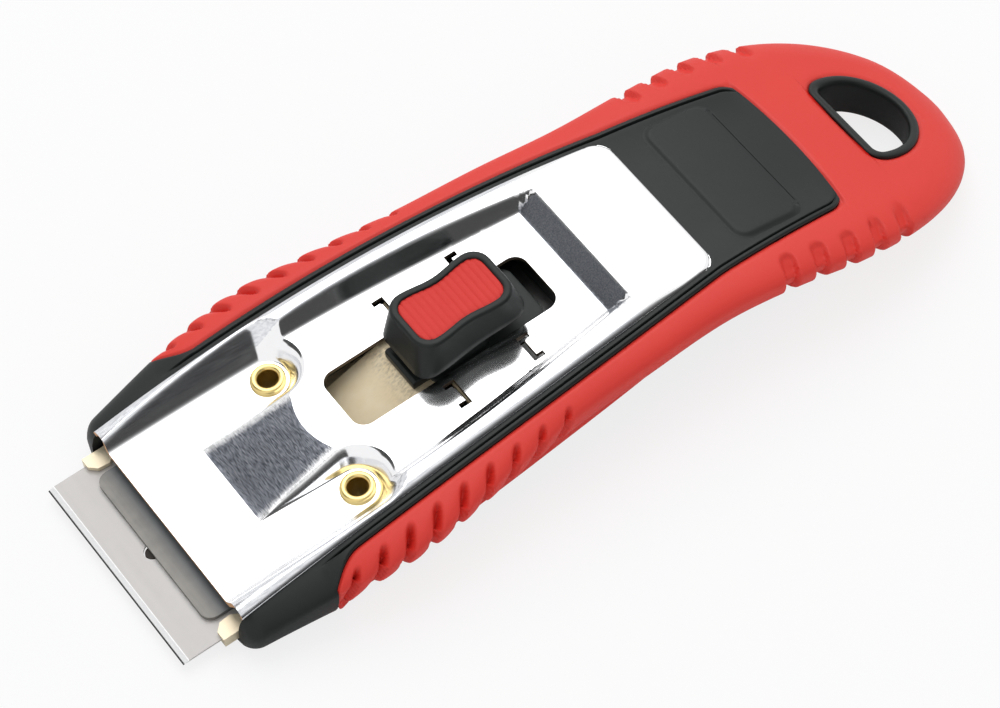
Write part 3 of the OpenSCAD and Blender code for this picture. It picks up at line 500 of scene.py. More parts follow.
def shade_by_form(piece, height):
    """Gives a sheet's upper face its height function's normals, so polished walls reflect evenly."""
    mesh = piece.data
    gap = 0.01
    # Where the form's normal and the face's differ more, it is taken a little inside the face
    least_alike = 0.985
    pull = 0.2

    def normal(s, y):
        along = (height(s + gap, y) - height(s - gap, y)) / (2 * gap)
        across = (height(s, y + gap) - height(s, y - gap)) / (2 * gap)
        return Vector((-along, -across, 1)).normalized()

    places = [(v.co.x / MM - NOSE_X, v.co.y / MM) for v in mesh.vertices]
    known = {}
    normals = []
    for face in mesh.polygons:
        flat = face.normal.copy()
        upper = flat.z > 0 and face.material_index % 2 == 0
        centre = (face.center.x / MM - NOSE_X, face.center.y / MM)
        for i in face.vertices:
            if not upper:
                normals.append(flat)
                continue
            if i not in known:
                known[i] = normal(*places[i])
            found = known[i]
            if found.dot(flat) < least_alike:
                found = normal(*(mix(a, b, pull) for a, b in zip(places[i], centre)))
            normals.append(found)
    mesh.normals_split_custom_set(normals)


def round_line(s0, y0, radius, start, end, steps):
    """Arc in plan, between two angles in degrees."""
    turn = [math.radians(mix(start, end, i / steps)) for i in range(steps + 1)]
    return [(s0 + radius * math.cos(a), y0 + radius * math.sin(a)) for a in turn]


def rounded_box(s0, s1, half_w, radius, steps=8):
    """Rounded rectangle in plan."""
    corners = ((s1 - radius, half_w - radius, 0), (s0 + radius, half_w - radius, 90),
               (s0 + radius, -half_w + radius, 180), (s1 - radius, -half_w + radius, 270))
    return [p for s, y, a in corners for p in round_line(s, y, radius, a, a + 90, steps)]


# Node helpers and shared effects

def add_node(tree, kind, inputs=None, **settings):
    node = tree.nodes.new(kind)
    for key, value in settings.items():
        setattr(node, key, value)
    for key, value in (inputs or {}).items():
        if isinstance(value, bpy.types.NodeSocket):
            tree.links.new(value, node.inputs[key])
        else:
            node.inputs[key].default_value = value
    return node


def maths(tree, kind, a, b=0.0, c=0.0, limited=False):
    node = add_node(tree, "ShaderNodeMath", {0: a, 1: b, 2: c}, operation=kind, use_clamp=limited)
    return node.outputs[0]


def varied(tree, value, span, middle=0.0):
    """A middle with a span of variation that follows a value from 0 to 1."""
    return maths(tree, "MULTIPLY_ADD", value, span, middle - span / 2)


def share_between(tree, value, start, end):
    """Share of the way of a value from a start to an end, from 0 to 1."""
    node = add_node(tree, "ShaderNodeMapRange", {"Value": value, "From Min": start, "From Max": end})
    return node.outputs["Result"]


def blend_colour(tree, share, first, second):
    node = add_node(tree, "ShaderNodeMix", {"Factor": share}, data_type="RGBA")
    for socket, value in ((node.inputs[6], first), (node.inputs[7], second)):
        if isinstance(value, bpy.types.NodeSocket):
            tree.links.new(value, socket)
        else:
            socket.default_value = value
    return node.outputs[2]


def ramp_node(tree, share, stops):
    node = add_node(tree, "ShaderNodeValToRGB", {"Fac": share})
    marks = node.color_ramp.elements
    for i, (place, colour) in enumerate(stops):
        mark = marks[i] if i < 2 else marks.new(place)
        mark.position = place
        mark.color = colour
    return node.outputs["Color"]


def grey(v):
    return (v, v, v, 1)


def object_place(tree):
    return tree.nodes.new("ShaderNodeTexCoord").outputs["Object"]


def noise(tree, place, scale, detail, roughness=0.5):
    node = add_node(tree, "ShaderNodeTexNoise",
                    {"Vector": place, "Scale": scale, "Detail": detail, "Roughness": roughness})
    return node.outputs["Fac"]


def effect_group(name, inputs, outputs):
    """A new node group of plain values, with its input and output nodes."""
    tree = bpy.data.node_groups.new(name, "ShaderNodeTree")
    for label, value in inputs:
        socket = tree.interface.new_socket(label, in_out="INPUT", socket_type="NodeSocketFloat")
        socket.default_value = value
    for label in outputs:
        tree.interface.new_socket(label, in_out="OUTPUT", socket_type="NodeSocketFloat")
    return tree, tree.nodes.new("NodeGroupInput"), tree.nodes.new("NodeGroupOutput")


def moulded_grain():
    """Fine grain and slow mottling of moulded plastic and rubber."""
    inputs = (("Grain Scale", 1500), ("Mottle Scale", 60))
    tree, given, out = effect_group("moulded_grain", inputs, ("Grain", "Mottle"))
    place = object_place(tree)
    tree.links.new(noise(tree, place, given.outputs["Grain Scale"], 2.0), out.inputs["Grain"])
    tree.links.new(noise(tree, place, given.outputs["Mottle Scale"], 4.0), out.inputs["Mottle"])
    return tree


def brushed_lines():
    """Fine parallel lines along one direction, with a few stray scratches."""
    scratch_scale, scratch_level = 240.0, 0.66
    inputs = (("Line Scale", 900), ("Stretch", 0.04), ("Turn", 0.0))
    tree, given, out = effect_group("brushed_lines", inputs, ("Lines", "Scratches"))
    turned = add_node(tree, "ShaderNodeVectorRotate",
                      {"Vector": object_place(tree), "Angle": given.outputs["Turn"]},
                      rotation_type="Z_AXIS").outputs["Vector"]
    narrow = add_node(tree, "ShaderNodeCombineXYZ",
                      {"X": given.outputs["Stretch"], "Y": 1, "Z": 1}).outputs["Vector"]
    place = add_node(tree, "ShaderNodeVectorMath", {0: turned, 1: narrow},
                     operation="MULTIPLY").outputs["Vector"]
    cells = noise(tree, place, scratch_scale, 6.0, 0.7)
    tree.links.new(noise(tree, place, given.outputs["Line Scale"], 3.0), out.inputs["Lines"])
    tree.links.new(maths(tree, "GREATER_THAN", cells, scratch_level), out.inputs["Scratches"])
    return tree


GRAIN = moulded_grain()
BRUSHED = brushed_lines()


def new_finish(name, **shader):
    """A material with its Principled shader, and the shader's plain values set on its own sockets."""
    finish = bpy.data.materials.new(name)
    finish.use_nodes = True
    tree = finish.node_tree
    body = tree.nodes["Principled BSDF"]
    for key, value in shader.items():
        body.inputs[key.replace("_", " ")].default_value = value
    return finish, tree, body


def add_grain(tree, mottle_scale=60):
    """Fine and slow noise of the shared grain effect."""
    node = tree.nodes.new("ShaderNodeGroup")
    node.node_tree = GRAIN
    node.inputs["Mottle Scale"].default_value = mottle_scale
    return node.outputs["Grain"], node.outputs["Mottle"]


def add_lines(tree, line_scale=900, stretch=0.04, turn=0):
    """Lines and scratches of the shared brushed effect, turned by an angle in degrees."""
    node = tree.nodes.new("ShaderNodeGroup")
    node.node_tree = BRUSHED
    node.inputs["Line Scale"].default_value = line_scale
    node.inputs["Stretch"].default_value = stretch
    node.inputs["Turn"].default_value = math.radians(turn)
    return node.outputs["Lines"], node.outputs["Scratches"]


def set_looks(tree, body, colour, roughness):
    tree.links.new(colour, body.inputs["Base Color"])
    tree.links.new(roughness, body.inputs["Roughness"])


def set_bump(tree, body, height, strength, distance):
    bump = add_node(tree, "ShaderNodeBump",
                    {"Height": height, "Strength": strength, "Distance": distance * MM})
    tree.links.new(bump.outputs["Normal"], body.inputs["Normal"])


def moulded_finish(name, colour, deep, roughness, grain_depth, gloss=0.42):
    """Moulded plastic or rubber: mottled colour, grain in the surface and in its gloss."""
    finish, tree, body = new_finish(name, Specular_IOR_Level=gloss)
    grain, mottle = add_grain(tree)
    set_looks(tree, body, blend_colour(tree, mottle, deep, colour), varied(tree, grain, 0.12, roughness))
    set_bump(tree, body, grain, 0.5, grain_depth)
    return finish


def steel_finish(name, colour, dull, roughness, line_depth, line_scale=900.0, stretch=0.04, metal=1.0):
    """Sheet metal: bright base, faint lines in the gloss and a few scratches."""
    finish, tree, body = new_finish(name, Metallic=metal)
    lines, scratches = add_lines(tree, line_scale, stretch)
    rough = maths(tree, "MULTIPLY_ADD", scratches, 0.12, varied(tree, lines, 0.1, roughness))
    set_looks(tree, body, blend_colour(tree, lines, dull, colour), rough)
    set_bump(tree, body, lines, 0.4, line_depth)
    return finish


RED_RUBBER = moulded_finish("red_rubber", (0.78, 0.042, 0.028, 1), (0.72, 0.034, 0.024, 1), 0.5, 0.02)
RED_PAD = moulded_finish("red_pad", (0.74, 0.04, 0.03, 1), (0.66, 0.03, 0.024, 1), 0.55, 0.02, gloss=0.3)
BLACK_PLASTIC = moulded_finish("black_plastic", (0.017, 0.02, 0.0195, 1), (0.011, 0.0135, 0.013, 1), 0.4,
                               0.012, gloss=0.24)
DARK_INSIDE = moulded_finish("dark_inside", (0.03, 0.021, 0.014, 1), (0.018, 0.013, 0.009, 1), 0.55, 0.01)
POLISHED = steel_finish("polished_steel", (0.93, 0.93, 0.94, 1), (0.88, 0.88, 0.89, 1), 0.12, 0.0005)
CUT_EDGE = steel_finish("cut_edge", (0.85, 0.5, 0.27, 1), (0.62, 0.33, 0.16, 1), 0.45, 0.001, metal=0.35)
DARK_EDGE = steel_finish("dark_edge", (0.2, 0.15, 0.11, 1), (0.1, 0.075, 0.055, 1), 0.45, 0.001,
                         metal=0.5)
BRASS = steel_finish("brass", (0.9, 0.72, 0.32, 1), (0.78, 0.58, 0.22, 1), 0.3, 0.001)
CREAM_PLATE = steel_finish("cream_plate", (0.9, 0.8, 0.6, 1), (0.82, 0.7, 0.5, 1), 0.42, 0.001,
                           line_scale=500.0, stretch=0.5, metal=0.45)
GREY_STEEL = steel_finish("grey_steel", (0.5, 0.5, 0.49, 1), (0.4, 0.4, 0.4, 1), 0.35, 0.002)


def place_share(tree, axis, start, end, lean=0.0):
    """Share of the way between two places on an axis, in millimetres; the places may lean along X."""
    parts = add_node(tree, "ShaderNodeSeparateXYZ", {0: object_place(tree)})
    found = parts.outputs[axis]
    if axis == "Y":
        found = maths(tree, "ABSOLUTE", found)
    if lean:
        found = maths(tree, "MULTIPLY_ADD", parts.outputs["X"], lean, found)
    return share_between(tree, found, start * MM, end * MM)


# Noise levels between which a brushed streak goes from dark to light
STREAK_LEVELS = (0.36, 0.66)
# Reach of the fades, frayed by the streaks, over which the sheet turns to plain polish
FADE_FRAY = 0.9
FADE_LEVELS = (0.25, 1.0)
POLISH_TONE = 0.92
POLISH_ROUGHNESS = 0.14


def sheet_with_painted_reflection(name, light, dark, roughness, line_scale, stretch, turn, fades):
    """Steel with short brushed streaks in a painted darker tone that stands for a sloped wall's dim
    reflection, which turns to plain polish over one or more place shares.
    """
    finish, tree, body = new_finish(name, Metallic=1.0)
    lines, _ = add_lines(tree, line_scale, stretch, turn)
    tone = blend_colour(tree, share_between(tree, lines, *STREAK_LEVELS), dark, light)
    rough = varied(tree, lines, 0.1, roughness)
    share = place_share(tree, *fades[0])
    for fade in fades[1:]:
        share = maths(tree, "MAXIMUM", share, place_share(tree, *fade))
    reach = maths(tree, "ADD", share, varied(tree, lines, FADE_FRAY))
    polish = share_between(tree, reach, *FADE_LEVELS)
    tone = blend_colour(tree, polish, tone, grey(POLISH_TONE))
    drop = maths(tree, "MULTIPLY", polish, roughness - POLISH_ROUGHNESS)
    rough = maths(tree, "SUBTRACT", rough, drop)
    set_looks(tree, body, tone, rough)
    set_bump(tree, body, lines, 0.3, 0.001)
    return finish


# The brushed ramp's sides lean outwards towards the nose
RAMP_LEAN = 0.118
RAMP_SIDE = RAMP_LEAN * (NOSE_X + RAMP_S)
# Painted reflection: the ramp, the rear wall and the bead get darker tones than the flat polish, fading
# to polish at their edges
RAMP_STEEL = sheet_with_painted_reflection("ramp_steel", (0.25, 0.26, 0.29, 1), (0.045, 0.05, 0.062, 1), 0.36, 9500.0,
                           0.1, 90, (("Y", RAMP_SIDE + 6.4, RAMP_SIDE + 8.4, RAMP_LEAN),))
REAR_STEEL = sheet_with_painted_reflection("rear_steel", (0.36, 0.375, 0.41, 1), (0.2, 0.212, 0.24, 1), 0.34, 7000.0,
                           0.6, 90, (("Y", REAR_WALL_W - 0.2, REAR_WALL_W + 0.9),
                                     ("X", NOSE_X + REAR_TOP_S - 1.1, NOSE_X + REAR_TOP_S - 0.4)))
BEAD_STEEL = sheet_with_painted_reflection("bead_steel", (0.83, 0.84, 0.86, 1), (0.66, 0.67, 0.7, 1), 0.16, 2600.0,
                           0.03, 0, (("X", NOSE_X + 74, NOSE_X + 81),))


def stepped_steel(name, span, stops, roughness, metal, stain):
    """Steel whose tone changes along the tool: the blade's painted shadow line at its edge and painted
    highlight on its bevel, the leaf's painted shade towards the cover; real stains lie over the tone.
    """
    finish, tree, body = new_finish(name, Metallic=metal)
    lines, _ = add_lines(tree, turn=90)
    _, mottle = add_grain(tree, 420)
    tone = ramp_node(tree, place_share(tree, "X", *span), stops)
    marks = maths(tree, "MULTIPLY", lines, mottle)
    worn = blend_colour(tree, maths(tree, "MULTIPLY", marks, stain), tone, grey(0.1))
    set_looks(tree, body, worn, varied(tree, lines, 0.12, roughness))
    set_bump(tree, body, lines, 0.3, 0.001)
    return finish


EDGE_X = cad_low.x / MM
BLADE_TONE = (0.55, 0.53, 0.515, 1)
# Painted shadow line along the blade's very edge, then a painted highlight on its bevel, then the flat
# tone
BLADE_STEEL = stepped_steel("blade_steel", (EDGE_X, EDGE_X + 2), (
    (0.0, grey(0.02)), (0.1, grey(0.03)), (0.14, grey(0.95)), (0.52, grey(0.95)),
    (0.57, BLADE_TONE), (1.0, BLADE_TONE)), 0.45, 0.2, 0.12)
# Brownish stained tone at the front; the darkening to blue-grey towards the cover is painted shade
LEAF_STEEL = stepped_steel("leaf_steel", (EDGE_X + 6, EDGE_X + 11), (
    (0.0, (0.3, 0.285, 0.26, 1)), (0.4, (0.26, 0.25, 0.23, 1)), (0.75, (0.2, 0.212, 0.22, 1)),
    (1.0, (0.17, 0.18, 0.19, 1))), 0.45, 0.3, 1.0)


# Painted shade of the arm's bend: a dark speckled patch just in front of the knob's foot
PATCH_X = on_track(42.2, 0, -2).x
PATCH_HALF_L = 4.2
PATCH_TONES = [(place, grey(tone)) for place, tone in
               ((0.0, 0), (0.35, 0.1), (0.62, 0.62), (0.8, 0.5), (1.0, 0))]


def cream_with_painted_shade(name):
    """Cream plating of the arm, with a dark speckled patch painted as the shade of its bend."""
    finish, tree, body = new_finish(name, Metallic=0.35)
    lines, _ = add_lines(tree, 2600, 0.45)
    _, mottle = add_grain(tree, 380)
    plain = blend_colour(tree, mottle, (0.78, 0.62, 0.38, 1), (0.9, 0.79, 0.58, 1))
    # Painted shade over the arm's bend in front of the knob
    patch = ramp_node(tree, place_share(tree, "X", PATCH_X - PATCH_HALF_L, PATCH_X + PATCH_HALF_L),
                      PATCH_TONES)
    dark = maths(tree, "MULTIPLY", patch, varied(tree, lines, 2.4, 0.25), limited=True)
    tone = blend_colour(tree, dark, plain, (0.06, 0.05, 0.035, 1))
    set_looks(tree, body, tone, varied(tree, lines, 0.14, 0.43))
    set_bump(tree, body, lines, 0.4, 0.002)
    return finish


ARM_CREAM = cream_with_painted_shade("cream_with_painted_shade")


def dress(node, finish):
    """Gives a carried-over CAD node its finish."""
    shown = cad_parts[node]
    shown.data.materials.clear()
    shown.data.materials.append(finish)


# Black core: cheeks, rims and label panel

CHEEK_WING = (4, 0.05)
# Rim beside the cover: its inner ridge, the groove and the outer lip, which fade in and out along it
RIDGE_W = 0.75
LIP_W = 0.85
LIP_STEP_W = 0.12
RIM_UP = 0.12
RIM_GROOVE = 0.4
LIP_UP = 0.24
RIM_START_S = 14
RIM_END_S = LABEL_END_S - 0.6
RIM_FADE_L = (5, 3)
SEAM_ROUND = 0.35
SEAM_FALL = 0.2


def cheek_wing(s):
    """Rounding of the core's lower corner, which closes up behind the cheek."""
    return mix(*CHEEK_WING, smooth((s - CHEEK_END_S) / CHEEK_CURVE_L))


def core_half(s):
    """Right half of the core's outline at a station, from mid back to mid underside."""
    w, _, _, low, _ = skin_shape(s)
    cheek = s < CHEEK_END_S
    rounding = arc_drop(max(NOSE_CORNER - s, 0), NOSE_CORNER)
    outer = w - rounding if cheek else seam_w(s) - SEAM
    rim = smooth((s - RIM_START_S) / RIM_FADE_L[0]) * smooth((RIM_END_S - s) / RIM_FADE_L[1])
    inner_edge = cover_w(max(s, COVER_FRONT_S)) if s < COVER_END_S - 1 else core_w(s) - RIM_W
    inner_edge = min(inner_edge, max(outer - RIM_W, 0.3 * outer))
    ridge = inner_edge + RIDGE_W
    lip = outer - LIP_W if s > COVER_END_S else inner_edge + RIM_W - LIP_W
    lip = min(max(lip, ridge + 0.15), outer * 0.96)
    step = rounding / 2

    def z_at(y, lift=0.0):
        return skin_z(s, min(y + rounding, w)) - step + lift * rim

    start = lip + LIP_STEP_W
    steps = [(0, 0), (0.5 * inner_edge, 0), (inner_edge - 0.3, 0), (inner_edge + 0.1, RIM_UP),
             (ridge - 0.12, RIM_UP), (ridge, 0.0), (ridge + 0.1, -RIM_GROOVE), (lip - 0.1, -RIM_GROOVE),
             (lip, 0.0), (start, LIP_UP)]
    half = [(min(y, outer), z_at(y, lift)) for y, lift in steps]
    for i in range(1, 13):
        y = start + (outer - start) * math.sin(quarter(i, 12))
        if cheek:
            half.append((y, z_at(y)))
        else:
            fall = smooth((y - outer + SEAM_ROUND) / SEAM_ROUND)
            half.append((y, z_at(y, LIP_UP) - SEAM_FALL * fall * rim))
    end_z = half[-1][1]
    wing = cheek_wing(s)
    low += step
    for i in range(1, 9):
        a = quarter(i, 8)
        half.append((outer - wing * (1 - math.cos(a)), end_z + (low - end_z) * math.sin(a)))
    half += [(0.5 * outer, low), (0, low)]
    return half


# Hollow of the core: the shelf under the cover, two wells along the track, washer and screw pockets
SHELF_W = 1.2
SHELF_H = -4.3
SHELF_END_S = 79.9
ABOVE_ALL_Z = 40
FRONT_WELL = (-4, 21, 20.9)
REAR_WELL = (20, 72.6, 15.3)
WELL_TOP_H = 30
BELOW_ALL_H = -20
WASHER_R = 3.8
WASHER_DEEP = 0.2
SCREW_S = 61.6
SCREW_Y = 12.5
SCREW_R = 2.25
SCREW_DEEP = 1


def shelf_cutter():
    """Space under the cover, which rests on the core's rims."""
    side = [(s, cover_w(s) - SHELF_W) for s in stations((-3, SHELF_END_S, 5))]
    plan = side + [(s, -y) for s, y in reversed(side)]
    rings = [[at(s, y, track_z(s, SHELF_H)) for s, y in plan], [at(s, y, ABOVE_ALL_Z) for s, y in plan]]
    return make_piece("shelf_cutter", *loft(rings), ())


def build_core():
    places = stations((0, NOSE_CORNER, 0.35), (NOSE_CORNER, CHEEK_END_S - 0.06, 1.1),
                      (CHEEK_END_S + 0.02, CHEEK_CURVE_END_S, 0.4),
                      (CHEEK_CURVE_END_S, COVER_END_S - 1, 2), (COVER_END_S - 1, LABEL_ROUND_S, 0.8))
    places += [mix(LABEL_ROUND_S, LABEL_END_S, math.sin(quarter(i, 14))) for i in range(1, 14)]
    places.append(LABEL_END_S - SEAM)
    rings = []
    for s in places:
        rings.append([at(s, y, z) for y, z in both_halves(core_half(s))])
    core = make_piece("core_shell", *loft(rings), (BLACK_PLASTIC,), sharp=40)
    cutters = [track_block("front_well_cutter", *FRONT_WELL, BASE_BOTTOM_H, WELL_TOP_H),
               track_block("rear_well_cutter", *REAR_WELL, BASE_BOTTOM_H, WELL_TOP_H), shelf_cutter()]
    for side in (-1, 1):
        cutters.append(track_drum("washer_cutter", EYELET_S, side * EYELET_Y, WASHER_R, BELOW_ALL_H,
                                  BASE_BOTTOM_H + WASHER_DEEP))
        cutters.append(track_drum("screw_cutter", SCREW_S, side * SCREW_Y, SCREW_R, BELOW_ALL_H,
                                  FLOOR_BOTTOM_H + SCREW_DEEP))
    carve(core, cutters)
    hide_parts("handle_core")
    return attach(core, HANDLE)


# Label field: front, rear, half width and corner, its raised edge and the groove along its rear
FIELD = (99.6, 113.2, 14, 3)
FIELD_UP = 0.012
FIELD_RISE = 0.42
FIELD_EDGE_W = 1.2
FIELD_GROOVE_BACK = 0.75
FIELD_GROOVE_HALF_W = 0.42
FIELD_GROOVE_DEEP = 0.5
FIELD_GROOVE_END_Y = 12.2
FIELD_T = 0.3


def build_label_pad():
    """Low raised field of the label panel, left bare."""
    s0, s1, half_w, radius = FIELD
    groove_s = s1 - FIELD_GROOVE_BACK
    outline = rounded_box(*FIELD)

    def edge_in(s, y):
        ds, dy = min(s - s0, s1 - s), half_w - abs(y)
        if ds < radius and dy < radius:
            return radius - math.hypot(radius - ds, radius - dy)
        return min(ds, dy)

    def height(s, y):
        rise = FIELD_UP + FIELD_RISE * smooth(edge_in(s, y) / FIELD_EDGE_W)
        across = max(1 - ((s - groove_s) / FIELD_GROOVE_HALF_W) ** 2, 0)
        groove = across * smooth((FIELD_GROOVE_END_Y - abs(y)) / 0.8)
        return back_z(s) + rise - FIELD_GROOVE_DEEP * groove

    extra = []
    for inset in (0.2, 0.4, 0.6, 0.8, 1.0, 1.2, 1.45):
        extra += rounded_box(s0 + inset, s1 - inset, half_w - inset, radius - inset)
        for s in stations((s0 + radius, s1 - radius, 1.5)):
            extra += [(s, half_w - inset), (s, inset - half_w)]
        for y in stations((radius - half_w, half_w - radius, 1.4)):
            extra.append((s0 + inset, y))
    groove_ys = stations((-FIELD_GROOVE_END_Y - 0.2, FIELD_GROOVE_END_Y + 0.2, 0.8))
    for d in (-FIELD_GROOVE_HALF_W, -0.3, -0.15, 0, 0.15, 0.3, FIELD_GROOVE_HALF_W):
        extra += [(groove_s + d, y) for y in groove_ys]
    extra += grid((s0 + 2, s1 - 2, 1.5), (-12, 12, 2.4))
    pad = plate("label_pad", outline, [], extra, [], height, (BLACK_PLASTIC, BLACK_PLASTIC),
                lambda s, y: 0, FIELD_T)
    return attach(pad, HANDLE)


# Red grip

GROOVE_S = 18.7
GROOVE_PITCH = 5.12
GROOVE_N = 9
GROOVE_LEAN = 0.55
GROOVE_LEAN_L = 5.5
GROOVE_HALF_W = 0.85
GROOVE_END_ROUND = 1.6
GROOVE_DEEP = 2.1
LOBE_DEEP = 1.5
LOBE_FADE = 3.2
# Share of a groove's pitch over which its lobe falls, before and behind the groove
LOBE_BEFORE = 0.7
LOBE_BEHIND = 0.3
# Grooves near the tail are shallower by up to this share
GROOVE_SHALLOWER = 0.5
# The grooves start on a line that leans inwards to the rear, and end before this station
GROOVE_START_Y = 25.3
GROOVE_START_LEAN = 0.055
GROOVES_END_S = 80
# Recesses between the ribs: depth, which grows outwards over a length, and their sloped edges
RIB_S = 104.3
RIB_PITCH = 5.75
RIB_N = 5
RIB_HALF_W = 1.4
RIB_LEAN = 0.25
RIB_ARCH = 1.4
RIB_DEEP = (0.5, 1.0)
RIB_DEEP_L = 3
RIB_EDGES = (0.45, 0.6)
RIB_START_W = 4.4


def groove_drop(s, e):
    """Depth of the slanting finger grooves, e outwards from their inner ends."""
    if e <= 0:
        return 0
    place = (s + GROOVE_LEAN * min(e, GROOVE_LEAN_L) - GROOVE_S) / GROOVE_PITCH
    k = clamp(math.floor(place + LOBE_BEFORE), 0, GROOVE_N - 1)
    x = (place - k) * GROOVE_PITCH
    t = 1 - abs(x) / (GROOVE_PITCH * (LOBE_BEHIND if x > 0 else LOBE_BEFORE))
    if t <= 0:
        return 0
    share = 1 - GROOVE_SHALLOWER * k / GROOVE_N
    end = min(e - GROOVE_END_ROUND, 0) / GROOVE_END_ROUND
    slot_share = smooth(1.6 * (1 - math.hypot(x / GROOVE_HALF_W, end)))
    lobe = arc_drop(t, 1) * smooth(e / LOBE_FADE)
    return share * (GROOVE_DEEP * slot_share + LOBE_DEEP * lobe)


def rib_drop(s, e):
    """Depth of the square-edged recesses between the rear ribs."""
    if e <= 0:
        return 0
    place = (s + RIB_LEAN * min(e, 5) - RIB_S) / RIB_PITCH
    x = (place - clamp(round(place), 0, RIB_N - 1)) * RIB_PITCH
    if abs(x) >= RIB_HALF_W:
        return 0
    arch = RIB_ARCH * arc_drop(x / RIB_HALF_W, 1)
    deep = mix(*RIB_DEEP, smooth(e / RIB_DEEP_L))
    return deep * smooth((RIB_HALF_W - abs(x)) / RIB_EDGES[0]) * smooth((e - arch) / RIB_EDGES[1])


def hang_half_w(s, grow):
    """Half width of the hang hole's rounded D at a station, grown by a wall."""
    radius, corner = HANG_R + grow, HANG_CORNER_R + grow
    if s < HANG_FRONT_S - grow or s > HANG_MID_S + radius:
        return 0
    round_w = math.sqrt(max(radius ** 2 - (s - HANG_MID_S) ** 2, 0))
    if s < HANG_CORNER_S:
        return min(round_w, HANG_CORNER_Y + math.sqrt(max(corner ** 2 - (HANG_CORNER_S - s) ** 2, 0)))
    return round_w


def grip_inner(s):
    """Half width at which the red grip begins, by the core or the hang ring."""
    if s < LABEL_END_S:
        return seam_w(s)
    return hang_half_w(s, HANG_WALL)


def seam_gap(s, y):
    """Distance of a point of the grip's top from the nearest black edge, roughly."""
    hole_gap = math.hypot(s - HANG_MID_S, y) - HANG_R
    if s < HANG_CORNER_S:
        hole_gap = math.hypot(HANG_CORNER_S - s, max(abs(y) - HANG_CORNER_Y, 0)) - HANG_CORNER_R
    gaps = [hole_gap - HANG_WALL]
    if s < LABEL_END_S:
        gaps.append(abs(y) - seam_w(s))
    if s > LABEL_ROUND_S - 2:
        behind = s - label_edge_s(min(abs(y), core_w(LABEL_ROUND_S)))
        beside = abs(y) - core_w(LABEL_ROUND_S) + 0.6
        gaps.append(max(behind, beside))
    return max(min(gaps), 0)


# Ends of the grip as a depth and the length that it takes: step at the cheek, edge along the seams
# and front lower corner
FRONT_STEP = (0.3, 0.8)
SEAM_DROP = (0.42, 0.75)
INNER_DROP = 0.55
FRONT_LOW_CORNER = (4.4, 4.6)
# Height over the underside within which grooves and ribs fade out
LOW_FADE_H = 1.6


def grip_half(s, inner):
    """Right half of the grip's outline at a station, from the seam round to the underside."""
    grooved = s < GROOVES_END_S
    w, _, _, low, _ = skin_shape(s)
    w = max(w - FRONT_STEP[0] * (1 - smooth((s - CHEEK_END_S) / FRONT_STEP[1])), inner + FRONT_STEP[0])
    count = 24
    half = [(inner, skin_z(s, inner) - INNER_DROP)]
    for i in range(count + 1):
        y = mix(inner, w, 0.35 * i / count + 0.65 * math.sin(quarter(i, count)))
        drop = SEAM_DROP[0] * (1 - smooth(seam_gap(s, y) / SEAM_DROP[1]))
        half.append((y, skin_z(s, min(y, side_w(s))) - drop))
    side_z = half[-1][1]
    low += FRONT_LOW_CORNER[0] * arc_drop(1 - clamp((s - CHEEK_END_S) / FRONT_LOW_CORNER[1]), 1)
    down = min(SIDE_DOWN, side_z - low)
    wing = min(WING_IN, 0.7 * (w - inner))
    for i in range(1, 13):
        a = quarter(i, 12)
        half.append((w - wing * (1 - math.cos(a)), side_z - down * math.sin(a)))
    start_y = GROOVE_START_Y - GROOVE_START_LEAN * (s - GROOVE_S) if grooved else w - RIB_START_W
    lengths = [0]
    start_l = None
    for a, b in zip(half, half[1:]):
        lengths.append(lengths[-1] + math.dist(a, b))
        if start_l is None and b[0] >= start_y:
            start_l = lengths[-1] - (b[0] - start_y)
    if start_l is None:
        start_l = lengths[-1]
    shaped = []
    for i, (y, z) in enumerate(half):
        e = lengths[i] - start_l
        drop = groove_drop(s, e) if grooved else rib_drop(s, e)
        drop *= smooth((z - low) / LOW_FADE_H) if i > 2 else 0
        if drop > 0:
            a, b = half[i - 1], half[min(i + 1, len(half) - 1)]
            drop /= math.dist(a, b)
            y += drop * (b[1] - a[1])
            z -= drop * (b[0] - a[0])
        shaped.append((max(y, inner), z))
    tuck = 0.9 * cheek_wing(s) if s < CHEEK_CURVE_END_S else 0
    shaped += [(max(w - BELLY_IN, inner + 0.15 * (w - inner)), low), (inner - tuck, low)]
    return shaped


def build_grip():
    ring_front = HANG_FRONT_S - HANG_WALL
    ring_end = HANG_MID_S + HANG_R + HANG_WALL
    tail_l = 2
    places = stations((CHEEK_END_S + SEAM, 66, 0.3), (66, 101, 1.5), (101, LABEL_ROUND_S, 0.3),
                      (LABEL_END_S + 0.05, 131, 0.35), (131, ring_end, 0.5),
                      (ring_end, BODY_L - tail_l, 0.7))
    places += [mix(LABEL_ROUND_S, LABEL_END_S, math.sin(quarter(i, 22))) for i in range(1, 22)]
    places += [ring_front + d for d in (-0.5, -0.3, -0.12, -0.02, 0.02, 0.08, 0.2, 0.4, 0.7, 1.1)]
    places += [ring_end - d for d in (0.02, 0.08, 0.2, 0.4)]
    places += [mix(BODY_L - tail_l, BODY_L, math.sin(quarter(i, 8))) for i in range(1, 9)]
    places = sorted(p for p in places if abs(p - ring_front) >= 0.01)
    points = []
    faces = []
    rows = []
    for s in places:
        inner = grip_inner(s)
        half = grip_half(s, inner)
        row = []
        for side in (1, -1):
            first = len(points)
            points.extend(at(s, side * y, z) for y, z in half)
            row.append(list(range(first, first + len(half))))
        rows.append((row, inner))
    for (row, inner), (after, next_inner) in zip(rows, rows[1:]):
        walled = inner + next_inner > 0
        for side in (0, 1):
            faces += ring_faces(row[side], after[side], closed=walled)
    for row, _ in (rows[0], rows[-1]):
        faces += [tuple(row[0]), tuple(row[1])]
    grip = make_piece("grip_skin", points, faces, (RED_RUBBER,), sharp=60)
    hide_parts("soft_grip")
    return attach(grip, HANDLE)


